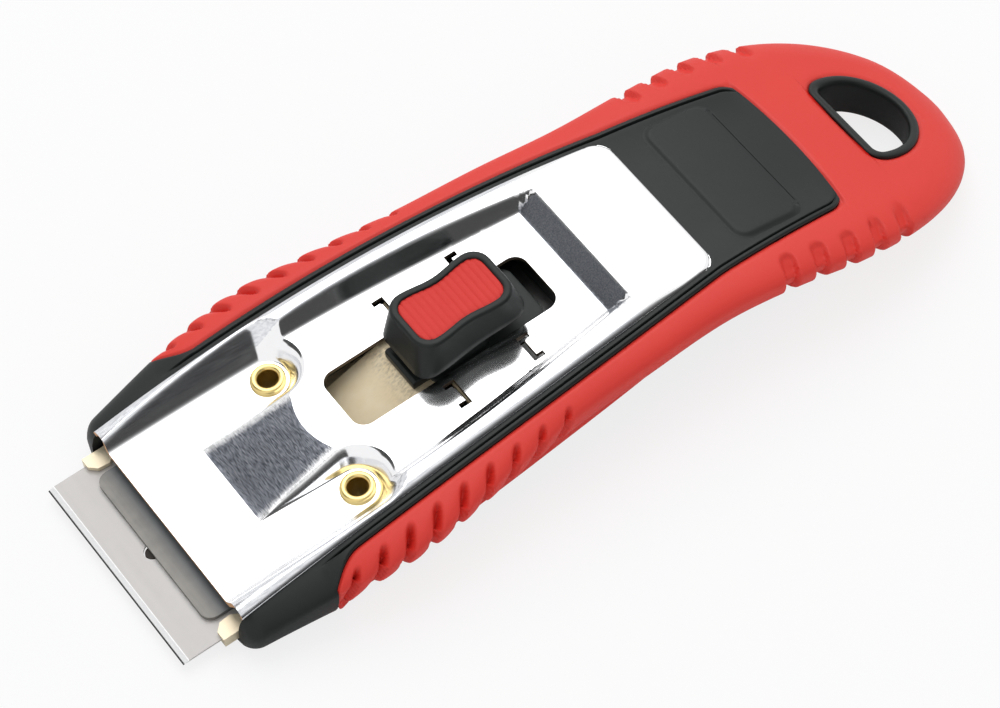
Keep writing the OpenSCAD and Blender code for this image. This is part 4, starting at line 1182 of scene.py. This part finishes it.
def build_hang_ring():
    """Black ring of the hang hole, with a low rounded rim that follows the back."""
    turn = math.degrees(math.atan2(HANG_CORNER_Y, HANG_CORNER_S - HANG_MID_S))

    def outline(grow):
        round_part = round_line(HANG_MID_S, 0, HANG_R + grow, -turn, turn, 60)
        corner_r = HANG_CORNER_R + grow
        upper = round_line(HANG_CORNER_S, HANG_CORNER_Y, corner_r, turn, 180, 10)[1:]
        lower = round_line(HANG_CORNER_S, -HANG_CORNER_Y, corner_r, 180, 360 - turn, 10)[:-1]
        front = [(HANG_FRONT_S - grow, HANG_CORNER_Y * (1 - 2 * i / 8)) for i in range(1, 8)]
        return round_part + upper + front + lower

    # Distance outwards from the hole and height over the back
    outer, low = HANG_WALL - 0.02, -HANG_H
    profile = ((outer, -1.2), (outer, 0.05), (1.5, 0.24), (1.2, 0.32), (0.7, 0.3), (0.3, 0.1),
               (0.06, -0.35), (0, -1), (0.25, low + 0.6), (0.6, low), (1.5, low), (outer, low + 0.4))

    def level(s, up):
        return max(back_z(s) + up, belly_z(s) + SEAM)

    rings = [[at(s, y, level(s, up)) for s, y in outline(grow)] for grow, up in profile]
    rings.append(rings[0])
    ring = make_piece("hang_rim", *loft(rings, caps=False), (BLACK_PLASTIC,), sharp=50)
    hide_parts("hang_ring")
    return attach(ring, HANDLE)


# Pressed steel cover

def fold(u, head, foot):
    """Share of a pressed wall's fall: a round head, a straight flank and a round foot."""
    u = clamp(u)
    flank = 1 - head - foot
    peak = 1 / (head / 2 + flank + foot / 2)
    if u < head:
        return peak * u * u / (2 * head)
    if u < head + flank:
        return peak * (head / 2 + u - head)
    rest = 1 - u
    return 1 - peak * rest * rest / (2 * foot)


def cover_edge_in(s, y):
    """Distance inwards from the cover's edge, but not from its front edge."""
    side = cover_w(s) - abs(y)
    rear = COVER_END_S - s
    if side < COVER_CORNER_R and rear < COVER_CORNER_R:
        return COVER_CORNER_R - math.hypot(COVER_CORNER_R - side, COVER_CORNER_R - rear)
    return min(side, rear)


def ramp_top_s(y):
    """Station of the ramp's bowed upper end."""
    return RAMP_TOP_S + RAMP_TOP_BOW * (min(abs(y), RAMP_TOP_END_Y) / RAMP_TOP_HALF_W) ** 2


def pocket_side_y(s):
    """Distance of a pocket's inner wall foot from the middle, beside the ramp."""
    return EYELET_Y - POCKET_R - RAMP_TAPER * (EYELET_S - s) / (EYELET_S - RAMP_S)


def foot_gap(s, y):
    """Distance of a point from the foot of the pan's walls, positive up the wall."""
    y = abs(y)
    if s > EYELET_S:
        return math.hypot(s - EYELET_S, y - EYELET_Y) - POCKET_R
    outward = y - (cover_w(s) - PAN_IN)
    if s < RAMP_S:
        return outward
    return max(outward, pocket_side_y(s) - y)


def pan_wall(s, y):
    """Height of the pan's wall over its foot and its crest's rounding, gentler along the bead."""
    d = max(foot_gap(s, y), 0)
    outward = abs(y) - EYELET_Y
    if s > EYELET_S:
        along_bead = clamp(outward / (d + POCKET_R)) ** 2
    else:
        along_bead = 1 if outward > 0 else 0
    rise = mix(POCKET_RISE, BEAD_RISE, along_bead)
    foot = mix(POCKET_FOOT, BEAD_FOOT, along_bead)
    crest = mix(POCKET_CREST, BEAD_CREST, along_bead)
    return rise * (d * d / (2 * foot) if d < foot else d - foot / 2), crest


def ramp_h(s, y):
    """Height of the ramp against the deck, nought or less."""
    if abs(y) > EYELET_Y:
        return 0
    top_s = ramp_top_s(y)
    return PAN_H * clamp((top_s - s) / (top_s - RAMP_S))


def wall_w(s):
    """Width of the pressed wall between the bead and the deck."""
    return clamp(DECK_WALL_SPREAD * (back_z(s) + BEAD_UP - track_z(s, 0)), *DECK_WALL_W)


def foot_in(s):
    """Distance of the deck's side foot from the cover's edge."""
    return mix(*DECK_IN, smooth((s - DECK_IN_S) / DECK_IN_L))


def bead_z(s, y):
    """Level of the bead, its inner wall, the rear wall and the deck, as if there were no pan."""
    edge = cover_edge_in(s, y)
    tail = smooth((s - TAIL_S) / TAIL_L)
    roll = mix(BEAD_W, TAIL_BEAD_W, tail)
    up = mix(BEAD_UP, TAIL_BEAD_UP, tail)
    crown = back_z(s) + up
    deck = min(track_z(s, ramp_h(s, y)), crown)
    if edge < roll:
        crown -= up * arc_drop(1 - edge / roll, 1)
    side_fall = fold(1 + (cover_w(s) - abs(y) - foot_in(s)) / wall_w(s), *SIDE_FOLD)
    rear_fall = fold((REAR_TOP_S - s) / (REAR_TOP_S - REAR_FOOT_S), *REAR_FOLD)
    return mix(crown, deck, min(side_fall, rear_fall))


def cover_z(s, y):
    """Level of the cover: the lower of the bead or deck and the pan, with a rounded crest between."""
    upper = bead_z(s, y)
    if s > EYELET_S + PAN_END_L:
        return upper
    pan = track_z(s, PAN_H)
    rise, crest = pan_wall(s, y)
    lower = pan + rise
    crest *= smooth((upper - pan) / CREST_FADE_H)
    near = max(crest - abs(upper - lower), 0)
    if near > 0:
        return min(upper, lower) - near * near / (4 * crest)
    return min(upper, lower)


# Finishes of the cover's upper face, each with that of the cut edge beside it; those of the ramp, the
# rear wall and the bead carry painted reflection
COVER_FINISHES = (POLISHED, CUT_EDGE, RAMP_STEEL, DARK_EDGE, REAR_STEEL, DARK_EDGE,
                  BEAD_STEEL, CUT_EDGE)
PLAIN, ON_RAMP, ON_REAR_WALL, ON_BEAD = 0, 2, 4, 6
RAMP_FINISH_Y = 8.6
REAR_FINISH_OUT = 1.2
BEAD_FINISH_W = 3.05
BEAD_FINISH_END_S = REAR_TOP_S + 4
BRIGHT_EDGE_END_S = 1.5


def cover_finish(s, y):
    """Number of the finish at a place of the cover."""
    if RAMP_S < s < ramp_top_s(y) and abs(y) < RAMP_FINISH_Y:
        return ON_RAMP
    if REAR_FOOT_S < s < REAR_TOP_S and abs(y) < cover_w(s) - foot_in(s) + REAR_FINISH_OUT:
        return ON_REAR_WALL
    if cover_edge_in(s, y) < BEAD_FINISH_W and s < BEAD_FINISH_END_S:
        return ON_BEAD
    return PLAIN


# Bracket cuts: station of the stem and the way its cut runs
BRACKETS = ((48.2, 1), (61.9, -1))


def bracket(s, side, way):
    """Bracket-shaped cut: a stem across the tool and two short arms along it."""
    inner, width, cut, arm = 7.25, 5.2, 0.95, 2.1
    end = cut - arm
    shape = ((cut, 0), (cut, width), (end, width), (end, width - cut), (0, width - cut), (0, cut),
             (end, cut), (end, 0))
    return [(s + way * a, side * (inner + b)) for a, b in shape]


def cover_points(corner_y, rear):
    """Plan points that let the cover's mesh follow its pressed form."""
    extra = []
    corner_s = COVER_END_S - COVER_CORNER_R
    edge_rows = [0.06, 0.16, 0.3, 0.48, 0.7, 0.95, 1.25, 1.55, 1.85]
    edge_rows += [2.05 + 0.2 * i for i in range(22)]
    for s in stations((COVER_FRONT_S, corner_s, 1.2)):
        for d in edge_rows:
            extra += [(s, cover_w(s) - d), (s, d - cover_w(s))]
    for d in (0.06, 0.16, 0.3, 0.48, 0.7, 0.95, 1.3):
        for s, y in reversed(round_line(corner_s, corner_y, COVER_CORNER_R - d, 0, 81, 9)):
            extra += [(s, y), (s, -y)]
        extra += [(COVER_END_S - d, p[1]) for p in rear]
    climb_rows = [-0.25, -0.1] + [0.15 * i for i in range(21)] + [3.2, 3.5]
    for m in (-1, 1):
        for d in climb_rows:
            around = round_line(EYELET_S, EYELET_Y, POCKET_R + d, -90, 80, 44)
            extra += [(s, m * y) for s, y in around]
            for s in stations((RAMP_S + 0.4, EYELET_S - 0.5, 0.6)):
                if d < 0.3 + 2.6 * (s - RAMP_S) / (EYELET_S - RAMP_S):
                    extra.append((s, m * (pocket_side_y(s) - d)))
    extra += grid((RAMP_S, RAMP_TOP_S + 2, 0.9), (-6.6, 6.6, 0.9))
    extra += grid((COVER_FRONT_S, 11.5, 1.8), (-15.5, 15.5, 2.2))
    extra += [(s, m * y) for s in stations((12, 24, 1.5)) for y in (10.5, 12.3, 14) for m in (-1, 1)]
    extra += grid((31, 74.5, 2), (-13, 13, 2))
    rear_rows = (REAR_FOOT_S, REAR_TOP_S + 0.6, 0.25)
    extra += grid(rear_rows, (-14.4, 14.4, 1.2))
    extra += [(s, m * y) for s in stations(rear_rows) for y in (15, 15.4) for m in (-1, 1)]
    return extra + grid((80.5, 92.5, 1.5), (-12.5, 12.5, 1.8))


def build_cover():
    corner_s = COVER_END_S - COVER_CORNER_R
    corner_y = cover_w(corner_s) - COVER_CORNER_R
    side = [(s, cover_w(s)) for s in stations((COVER_FRONT_S, corner_s, 1.2))]
    upper = side + round_line(corner_s, corner_y, COVER_CORNER_R, 90, 0, 10)[1:]
    rear = [(COVER_END_S, mix(corner_y, -corner_y, i / 16)) for i in range(1, 16)]
    front_w = cover_w(COVER_FRONT_S)
    front = [(COVER_FRONT_S, mix(-front_w, front_w, i / 30)) for i in range(1, 30)]
    outline = upper + rear + [(s, -y) for s, y in reversed(upper)] + front
    holes = [rounded_box(*SLOT)]
    for m in (-1, 1):
        holes.append(round_line(EYELET_S, m * EYELET_Y, EYELET_HOLE_R, 0, 345, 23))
        holes += [bracket(s, m, way) for s, way in BRACKETS]
    ramp_foot = [(RAMP_S, mix(-8.3, 8.3, i / 16)) for i in range(17)]
    ramp_top = [(ramp_top_s(y), y) for y in stations((-7, 7, 0.7))]
    foot_w = cover_w(REAR_FOOT_S) - foot_in(REAR_FOOT_S) - 0.2
    rear_foot = [(REAR_FOOT_S, mix(-foot_w, foot_w, i / 20)) for i in range(21)]
    lines = [ramp_foot, ramp_top, rear_foot]
    cover = plate("cover_sheet", outline, holes, cover_points(corner_y, rear), lines, cover_z,
                  COVER_FINISHES, cover_finish, SHEET_T, sharp=38)
    shade_by_form(cover, cover_z)
    for face in cover.data.polygons:
        if face.material_index % 2 == 1 and face.center.x / MM - NOSE_X > BRIGHT_EDGE_END_S:
            face.material_index = COVER_FINISHES.index(DARK_EDGE)
    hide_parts("cover_plate")
    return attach(cover, HANDLE)


# Rolled eyelets
EYELET_BORE_R = 1.65
EYELET_FLANGE_R = 2.9
EYELET_LOW_H = BASE_BOTTOM_H - 0.9
EYELET_ROLL = (0.62, 0.56)


def build_eyelets():
    """Two brass eyelets with a rolled lip over a flange."""
    roll_r, roll_h = EYELET_ROLL
    tube_r = EYELET_BORE_R + 0.35
    profile = [(EYELET_BORE_R, EYELET_LOW_H)]
    for degrees in range(0, 181, 15):
        a = math.radians(degrees)
        profile.append((EYELET_BORE_R + roll_r * (1 - math.cos(a)), PAN_H + 0.3 + roll_h * math.sin(a)))
    profile += [(EYELET_FLANGE_R, PAN_H + 0.2), (EYELET_FLANGE_R - 0.15, PAN_H + 0.03),
                (tube_r, PAN_H + 0.03), (tube_r, EYELET_LOW_H), profile[0]]
    points, faces = joined(loft(turned_rings(profile, EYELET_S, side * EYELET_Y, 72), caps=False)
                           for side in (-1, 1))
    eyelets = make_piece("rolled_eyelets", points, faces, (BRASS,), sharp=45)
    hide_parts("cover_eyelets")
    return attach(eyelets, HANDLE)


# Knob
# Plans of the knob's foot and top: front, rear, end half width, waist half width, corner
KNOB_FOOT = (44.5, 65.3, 6.4, 5.9, 2.7)
KNOB_TOP = (45.8, 64.2, 5.9, 5.3, 3.3)
KNOB_TOP_H = 8.95
KNOB_DIP = 0.25
KNOB_LOW_H = (1.7, 3.4)
KNOB_LOW_ROUND = 0.45
KNOB_RIM = 0.6
# Pad in the knob's top
PAD_INSET = 1.38
PAD_RIBS = 14
PAD_DOWN = 0.3
PAD_RIB_UP = 0.1
PAD_T = 0.8
# Neck through the slot: front, rear and half width, then its flare and height ring by ring
NECK = (45.7, 58, 4.2)
NECK_FLARE = ((0.0, -1.45), (0.0, 0.5), (0.2, 1.6), (0.8, 2.5))
# Apron ring by ring, from the part under the deck up into the knob: front, rear, half width, height
APRON = ((47, 68.4, 6.1, -1.5), (47, 68.4, 6.1, -1.2), (47, 68.2, 5.7, -1.08), (47, 67.6, 5.6, -1.05),
         (48, 58.6, 5.2, -1.0), (48, 58.6, 5.2, 1.5), (49, 59.6, 5.3, 1.8), (55, 63.8, 5.4, 2.15),
         (55.5, 64.4, 5.5, 2.7), (56.6, 64.7, 5.4, 3.1), (57.8, 64.8, 5.6, 3.6))
# Lip in front of the neck: station and height of its top, and its sides
LIP_LOW_H = -1.45
LIP_TOP = ((43.9, 0.0), (44.4, 0.4), (44.8, 0.3), (46.6, 0.1))
LIP_SIDES = (-4.2, 3.7)


def knob_outline(level, inset):
    """Waisted plan of the knob at a level between its foot and its top, shrunk by an inset."""
    s0, s1, end_w, waist_w, corner = (mix(a, b, level) for a, b in zip(KNOB_FOOT, KNOB_TOP))
    mid = (s0 + s1) / 2
    half_l = (s1 - s0) / 2 - inset
    r = max(corner - 0.8 * inset, 0.6)
    corner_line = round_line(half_l - r, end_w - inset - r, r, 0, 90, 7)
    span = half_l - r
    top = []
    for i in range(1, 14):
        u = 1 - i / 7
        top.append((u * span, mix(waist_w, end_w, (1 - math.cos(math.pi * u)) / 2) - inset))
    other = [(-s, y) for s, y in reversed(corner_line)]
    upper = corner_line + top + other
    lower = [(s, -y) for s, y in reversed(upper)]
    return [(mid + s, y) for s, y in upper + lower]


def knob_low_h(s):
    """Lower edge of the knob."""
    t = (s - KNOB_FOOT[0]) / (KNOB_FOOT[1] - KNOB_FOOT[0])
    return mix(*KNOB_LOW_H, smooth((t - 0.3) / 0.75))


def knob_top_h(s):
    """Top of the knob, dished along its middle for the thumb."""
    u = clamp((s - KNOB_TOP[0]) / (KNOB_TOP[1] - KNOB_TOP[0]))
    return KNOB_TOP_H - KNOB_DIP * math.sin(math.pi * u) ** 2


def knob_ring(level, inset, height):
    """Ring of the knob at a level of its plan, lifted by a height function of the station."""
    return [on_track(s, y, height(s)) for s, y in knob_outline(level, inset)]


def build_knob():
    rings = []
    for inset, up in ((2.4, -0.2), (1.0, 0.0), (0.3, 0.05), (0.0, KNOB_LOW_ROUND)):
        rings.append(knob_ring(0, inset, lambda s: knob_low_h(s) + up))
    for level in (0.2, 0.4, 0.6, 0.8):
        rings.append(knob_ring(level, 0.0, lambda s: mix(knob_low_h(s) + KNOB_LOW_ROUND,
                                                         knob_top_h(s) - KNOB_RIM, level)))
    for i in range(7):
        a = quarter(i, 6)
        rings.append(knob_ring(1, KNOB_RIM * (1 - math.cos(a)),
                               lambda s: knob_top_h(s) - KNOB_RIM * (1 - math.sin(a))))
    for inset, down in ((1.16, 0), (1.3, 0.1), (1.36, 0.5), (1.36, 1.0)):
        rings.append(knob_ring(1, inset, lambda s: knob_top_h(s) - down))
    knob = make_piece("knob_body", *loft(rings), (BLACK_PLASTIC,), sharp=50)
    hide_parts("thumb_knob")
    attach(knob, KNOB)
    build_knob_foot()
    build_knob_pad()
    return knob


def box_rings(levels, radius, steps):
    """Rounded boxes in plan, each at its height."""
    return [[on_track(s, y, h) for s, y in rounded_box(s0, s1, half_w, radius, steps)]
            for s0, s1, half_w, h in levels]


def build_knob_foot():
    """Neck through the slot, the apron that sweeps down behind it, and the lip in front."""
    s0, s1, half_w = NECK
    rings = box_rings([(s0 - grow, s1 + grow, half_w + grow, h) for grow, h in NECK_FLARE], 1.2, 5)
    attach(make_piece("knob_neck", *loft(rings), (BLACK_PLASTIC,), sharp=50), KNOB)
    rings = box_rings(APRON, 2.2, 6)
    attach(make_piece("knob_apron", *loft(rings), (BLACK_PLASTIC,), sharp=50), KNOB)
    y0, y1 = LIP_SIDES
    lip = [[on_track(s, y, h) for y, h in ((y0, LIP_LOW_H), (y1, LIP_LOW_H), (y1, top), (y0, top))]
           for s, top in LIP_TOP]
    foot = make_piece("knob_lip", *loft(lip), (BLACK_PLASTIC,), sharp=50)
    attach(soften(foot, 0.15), KNOB)


def build_knob_pad():
    """Soft ribbed pad: fine low ribs across the knob."""
    rim = knob_outline(1, PAD_INSET)
    s0, s1 = min(p[0] for p in rim), max(p[0] for p in rim)

    def half_w(s):
        sides = zip(rim, rim[1:] + rim[:1])
        found = [abs(a[1]) for a, b in sides if min(a[0], b[0]) <= s <= max(a[0], b[0])]
        return max(found) if found else 0.5

    rings = []
    for s in stations((s0 + 0.02, s0 + 1, 0.1), (s0 + 1, s1 - 1, 0.12), (s1 - 1, s1 - 0.02, 0.1)):
        wave = abs(math.sin(math.pi * PAD_RIBS * (s - s0) / (s1 - s0)))
        crest = knob_top_h(s) - PAD_DOWN + PAD_RIB_UP * wave ** 0.8
        w = half_w(s)
        ring = [(-w, crest - PAD_T)]
        for i in range(17):
            y = mix(-w, w, i / 16)
            ring.append((y, crest - 0.16 * smooth((abs(y) - w + 0.7) / 0.7)))
        ring.append((w, crest - PAD_T))
        rings.append([on_track(s, y, h) for y, h in ring])
    pad = make_piece("ribbed_pad", *loft(rings), (RED_PAD,), sharp=60)
    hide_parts("knob_pad")
    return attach(pad, KNOB)


# Turned tabs: front, rear, inner and outer side, foot and head height, lean of the foot
TABS = ((48.5, 48.78, 8.6, 11.4, -1.2, -0.3, -0.15), (61.5, 62.9, 7.35, 8.1, -1.1, -0.5, 0))


def build_turned_tabs():
    """Small tabs turned down in the cover's four bracket slots."""
    parts = []
    for side in (-1, 1):
        for s0, s1, inner, outer, foot_h, head_h, lean in TABS:
            low, high = sorted((side * inner, side * outer))
            rings = []
            for h, shift in ((foot_h, lean), (head_h, 0)):
                plan = ((s0 + shift, low), (s1 + shift, low), (s1, high), (s0, high))
                rings.append([on_track(s, y, h) for s, y in plan])
            parts.append(loft(rings))
    tabs = make_piece("turned_tabs", *joined(parts), (POLISHED,), sharp=30)
    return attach(tabs, HANDLE)


# Painted shade in the blade's hole, a dark disc: distance behind the edge, and its rings as (radius,
# height)
HOLE_SHADE_BACK = 6.87
HOLE_SHADE_RINGS = ((0.8, -0.5), (1.15, -0.45), (1.15, -0.1), (0.9, -0.02))


def build_hole_shade():
    """Dark disc under the blade's hole, painted shade that fills it from below."""
    low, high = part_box("razor_blade")
    mid = (Vector(low) + Vector(high)) / (2 * MM)
    x = EDGE_X + HOLE_SHADE_BACK
    turn = [2 * math.pi * i / 32 for i in range(32)]
    rings = []
    for r, up in HOLE_SHADE_RINGS:
        plan = [(x + r * math.cos(a), r * math.sin(a)) for a in turn]
        rings.append([Vector((a, b, mid.z + (a - mid.x) * math.tan(SLOPE) + up)) for a, b in plan])
    shade_disc = make_piece("hole_shade_disc", *loft(rings), (DARK_INSIDE,), sharp=40)
    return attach(shade_disc, CARRIAGE)


# Pieces that keep the model's own solids

def dress_nodes():
    for node in ("carrier_plate", "leaf_rivets", "arm_rivets"):
        dress(node, CREAM_PLATE)
    dress("spring_arm", ARM_CREAM)
    for node in ("base_plate", "clinch_washers", "floor_screws", "knob_screws", "blade_backstop"):
        dress(node, GREY_STEEL)
    for node in ("guide_strip_left", "guide_strip_right", "knob_shoe"):
        dress(node, DARK_INSIDE)
    dress("razor_blade", BLADE_STEEL)
    dress("clamp_leaf", LEAF_STEEL)


# Studio

def stage_finish(name, colour, camera_share):
    """Plain matt finish, partly white by itself for the camera, so the shadow stays light."""
    finish, tree, body = new_finish(name, Roughness=0.9)
    body.inputs["Base Color"].default_value = colour
    body.inputs["Specular IOR Level"].default_value = 0.1
    glow = add_node(tree, "ShaderNodeEmission", {"Color": (1, 1, 1, 1), "Strength": 1.0})
    seen = tree.nodes.new("ShaderNodeLightPath").outputs["Is Camera Ray"]
    share = maths(tree, "MULTIPLY", seen, camera_share)
    both = add_node(tree, "ShaderNodeMixShader", {0: share, 1: body.outputs[0], 2: glow.outputs[0]})
    out = tree.nodes["Material Output"]
    tree.links.new(both.outputs[0], out.inputs["Surface"])
    return finish


def build_floor():
    half = 2000
    corners = [(-half, -half, 0), (half, -half, 0), (half, half, 0), (-half, half, 0)]
    white = stage_finish("floor_white", grey(0.9), 0.8)
    floor = make_piece("studio_floor", corners, [(0, 1, 2, 3)], (white,))


def build_flag(name, centre, faces_to, width, height, tones):
    """Dark studio flag that only reflections see, its tone changing from its foot to its top."""
    finish, tree, body = new_finish(name, Roughness=1.0)
    body.inputs["Base Color"].default_value = grey(0)
    place = tree.nodes.new("ShaderNodeTexCoord").outputs["Generated"]
    up = add_node(tree, "ShaderNodeSeparateXYZ", {0: place}).outputs["Z"]
    tone = ramp_node(tree, up, [(share, grey(value)) for share, value in tones])
    tree.links.new(tone, body.inputs["Emission Color"])
    body.inputs["Emission Strength"].default_value = 1
    towards = (Vector(faces_to) - Vector(centre)).normalized()
    across = Vector((0, 0, 1)).cross(towards).normalized()
    upward = towards.cross(across)
    corners = [Vector(centre) + across * a * width / 2 + upward * b * height / 2
               for a, b in ((-1, -1), (1, -1), (1, 1), (-1, 1))]
    flag = make_piece(name, corners, [(0, 1, 2, 3)], (finish,))
    flag.visible_camera = False
    flag.visible_diffuse = False
    flag.visible_transmission = False
    flag.visible_shadow = False


def build_lights():
    key = bpy.data.lights.new("soft_key", "AREA")
    key.shape = "RECTANGLE"
    key.size = 1.1
    key.size_y = 1.3
    key.energy = 8.5
    lamp = bpy.data.objects.new("soft_key", key)
    lamp.location = (0.25, 0.55, 1.15)
    lamp.rotation_euler = (Vector((0, 0, 0)) - lamp.location).to_track_quat("-Z", "Y").to_euler()
    bpy.context.collection.objects.link(lamp)
    world = bpy.data.worlds.new("studio")
    bpy.context.scene.world = world
    world.use_nodes = True
    tree = world.node_tree
    tree.nodes.clear()
    path = tree.nodes.new("ShaderNodeLightPath")
    seen = maths(tree, "MAXIMUM", path.outputs["Is Camera Ray"], path.outputs["Is Glossy Ray"])
    seen = maths(tree, "MAXIMUM", seen, path.outputs["Is Transmission Ray"])
    fill = add_node(tree, "ShaderNodeBackground", {"Color": (0.98, 0.99, 1, 1), "Strength": 0.62})
    white = add_node(tree, "ShaderNodeBackground", {"Color": (1, 1, 1, 1), "Strength": 1.0})
    both = add_node(tree, "ShaderNodeMixShader", {0: seen, 1: fill.outputs[0], 2: white.outputs[0]})
    out = tree.nodes.new("ShaderNodeOutputWorld")
    tree.links.new(both.outputs[0], out.inputs["Surface"])


def build_camera():
    """Long lens, from above the nose's near side."""
    azimuth, elevation = math.radians(-35.25), math.radians(53.43)
    back = Vector((math.sin(azimuth) * math.cos(elevation), -math.cos(azimuth) * math.cos(elevation),
                   math.sin(elevation)))
    lens = bpy.data.cameras.new("photo_camera")
    lens.sensor_width = 36
    lens.lens = 145.476
    lens.clip_start = 0.05
    lens.clip_end = 20
    camera = bpy.data.objects.new("photo_camera", lens)
    camera.location = Vector((-229.51, -313.0, 519.55)) * MM
    camera.rotation_mode = "QUATERNION"
    camera.rotation_quaternion = back.to_track_quat("Z", "Y")
    bpy.context.collection.objects.link(camera)
    bpy.context.scene.camera = camera


build_core()
build_label_pad()
build_grip()
build_hang_ring()
build_cover()
build_eyelets()
build_knob()
build_turned_tabs()
build_hole_shade()
dress_nodes()
build_floor()
build_flag("flag_over_nose", (-620, 430, 760), (0, 0, 0), 640, 700, ((0.0, 0.06), (1.0, 0.06)))
build_flag("flag_near_side", (340, -880, 1310), (0, 0, 1310), 1600, 2560,
           ((0.0, 0.05), (0.2, 0.06), (0.42, 0.2), (0.63, 0.45), (1.0, 0.8)))
build_lights()
build_camera()
bpy.context.scene.view_settings.view_transform = "Standard"
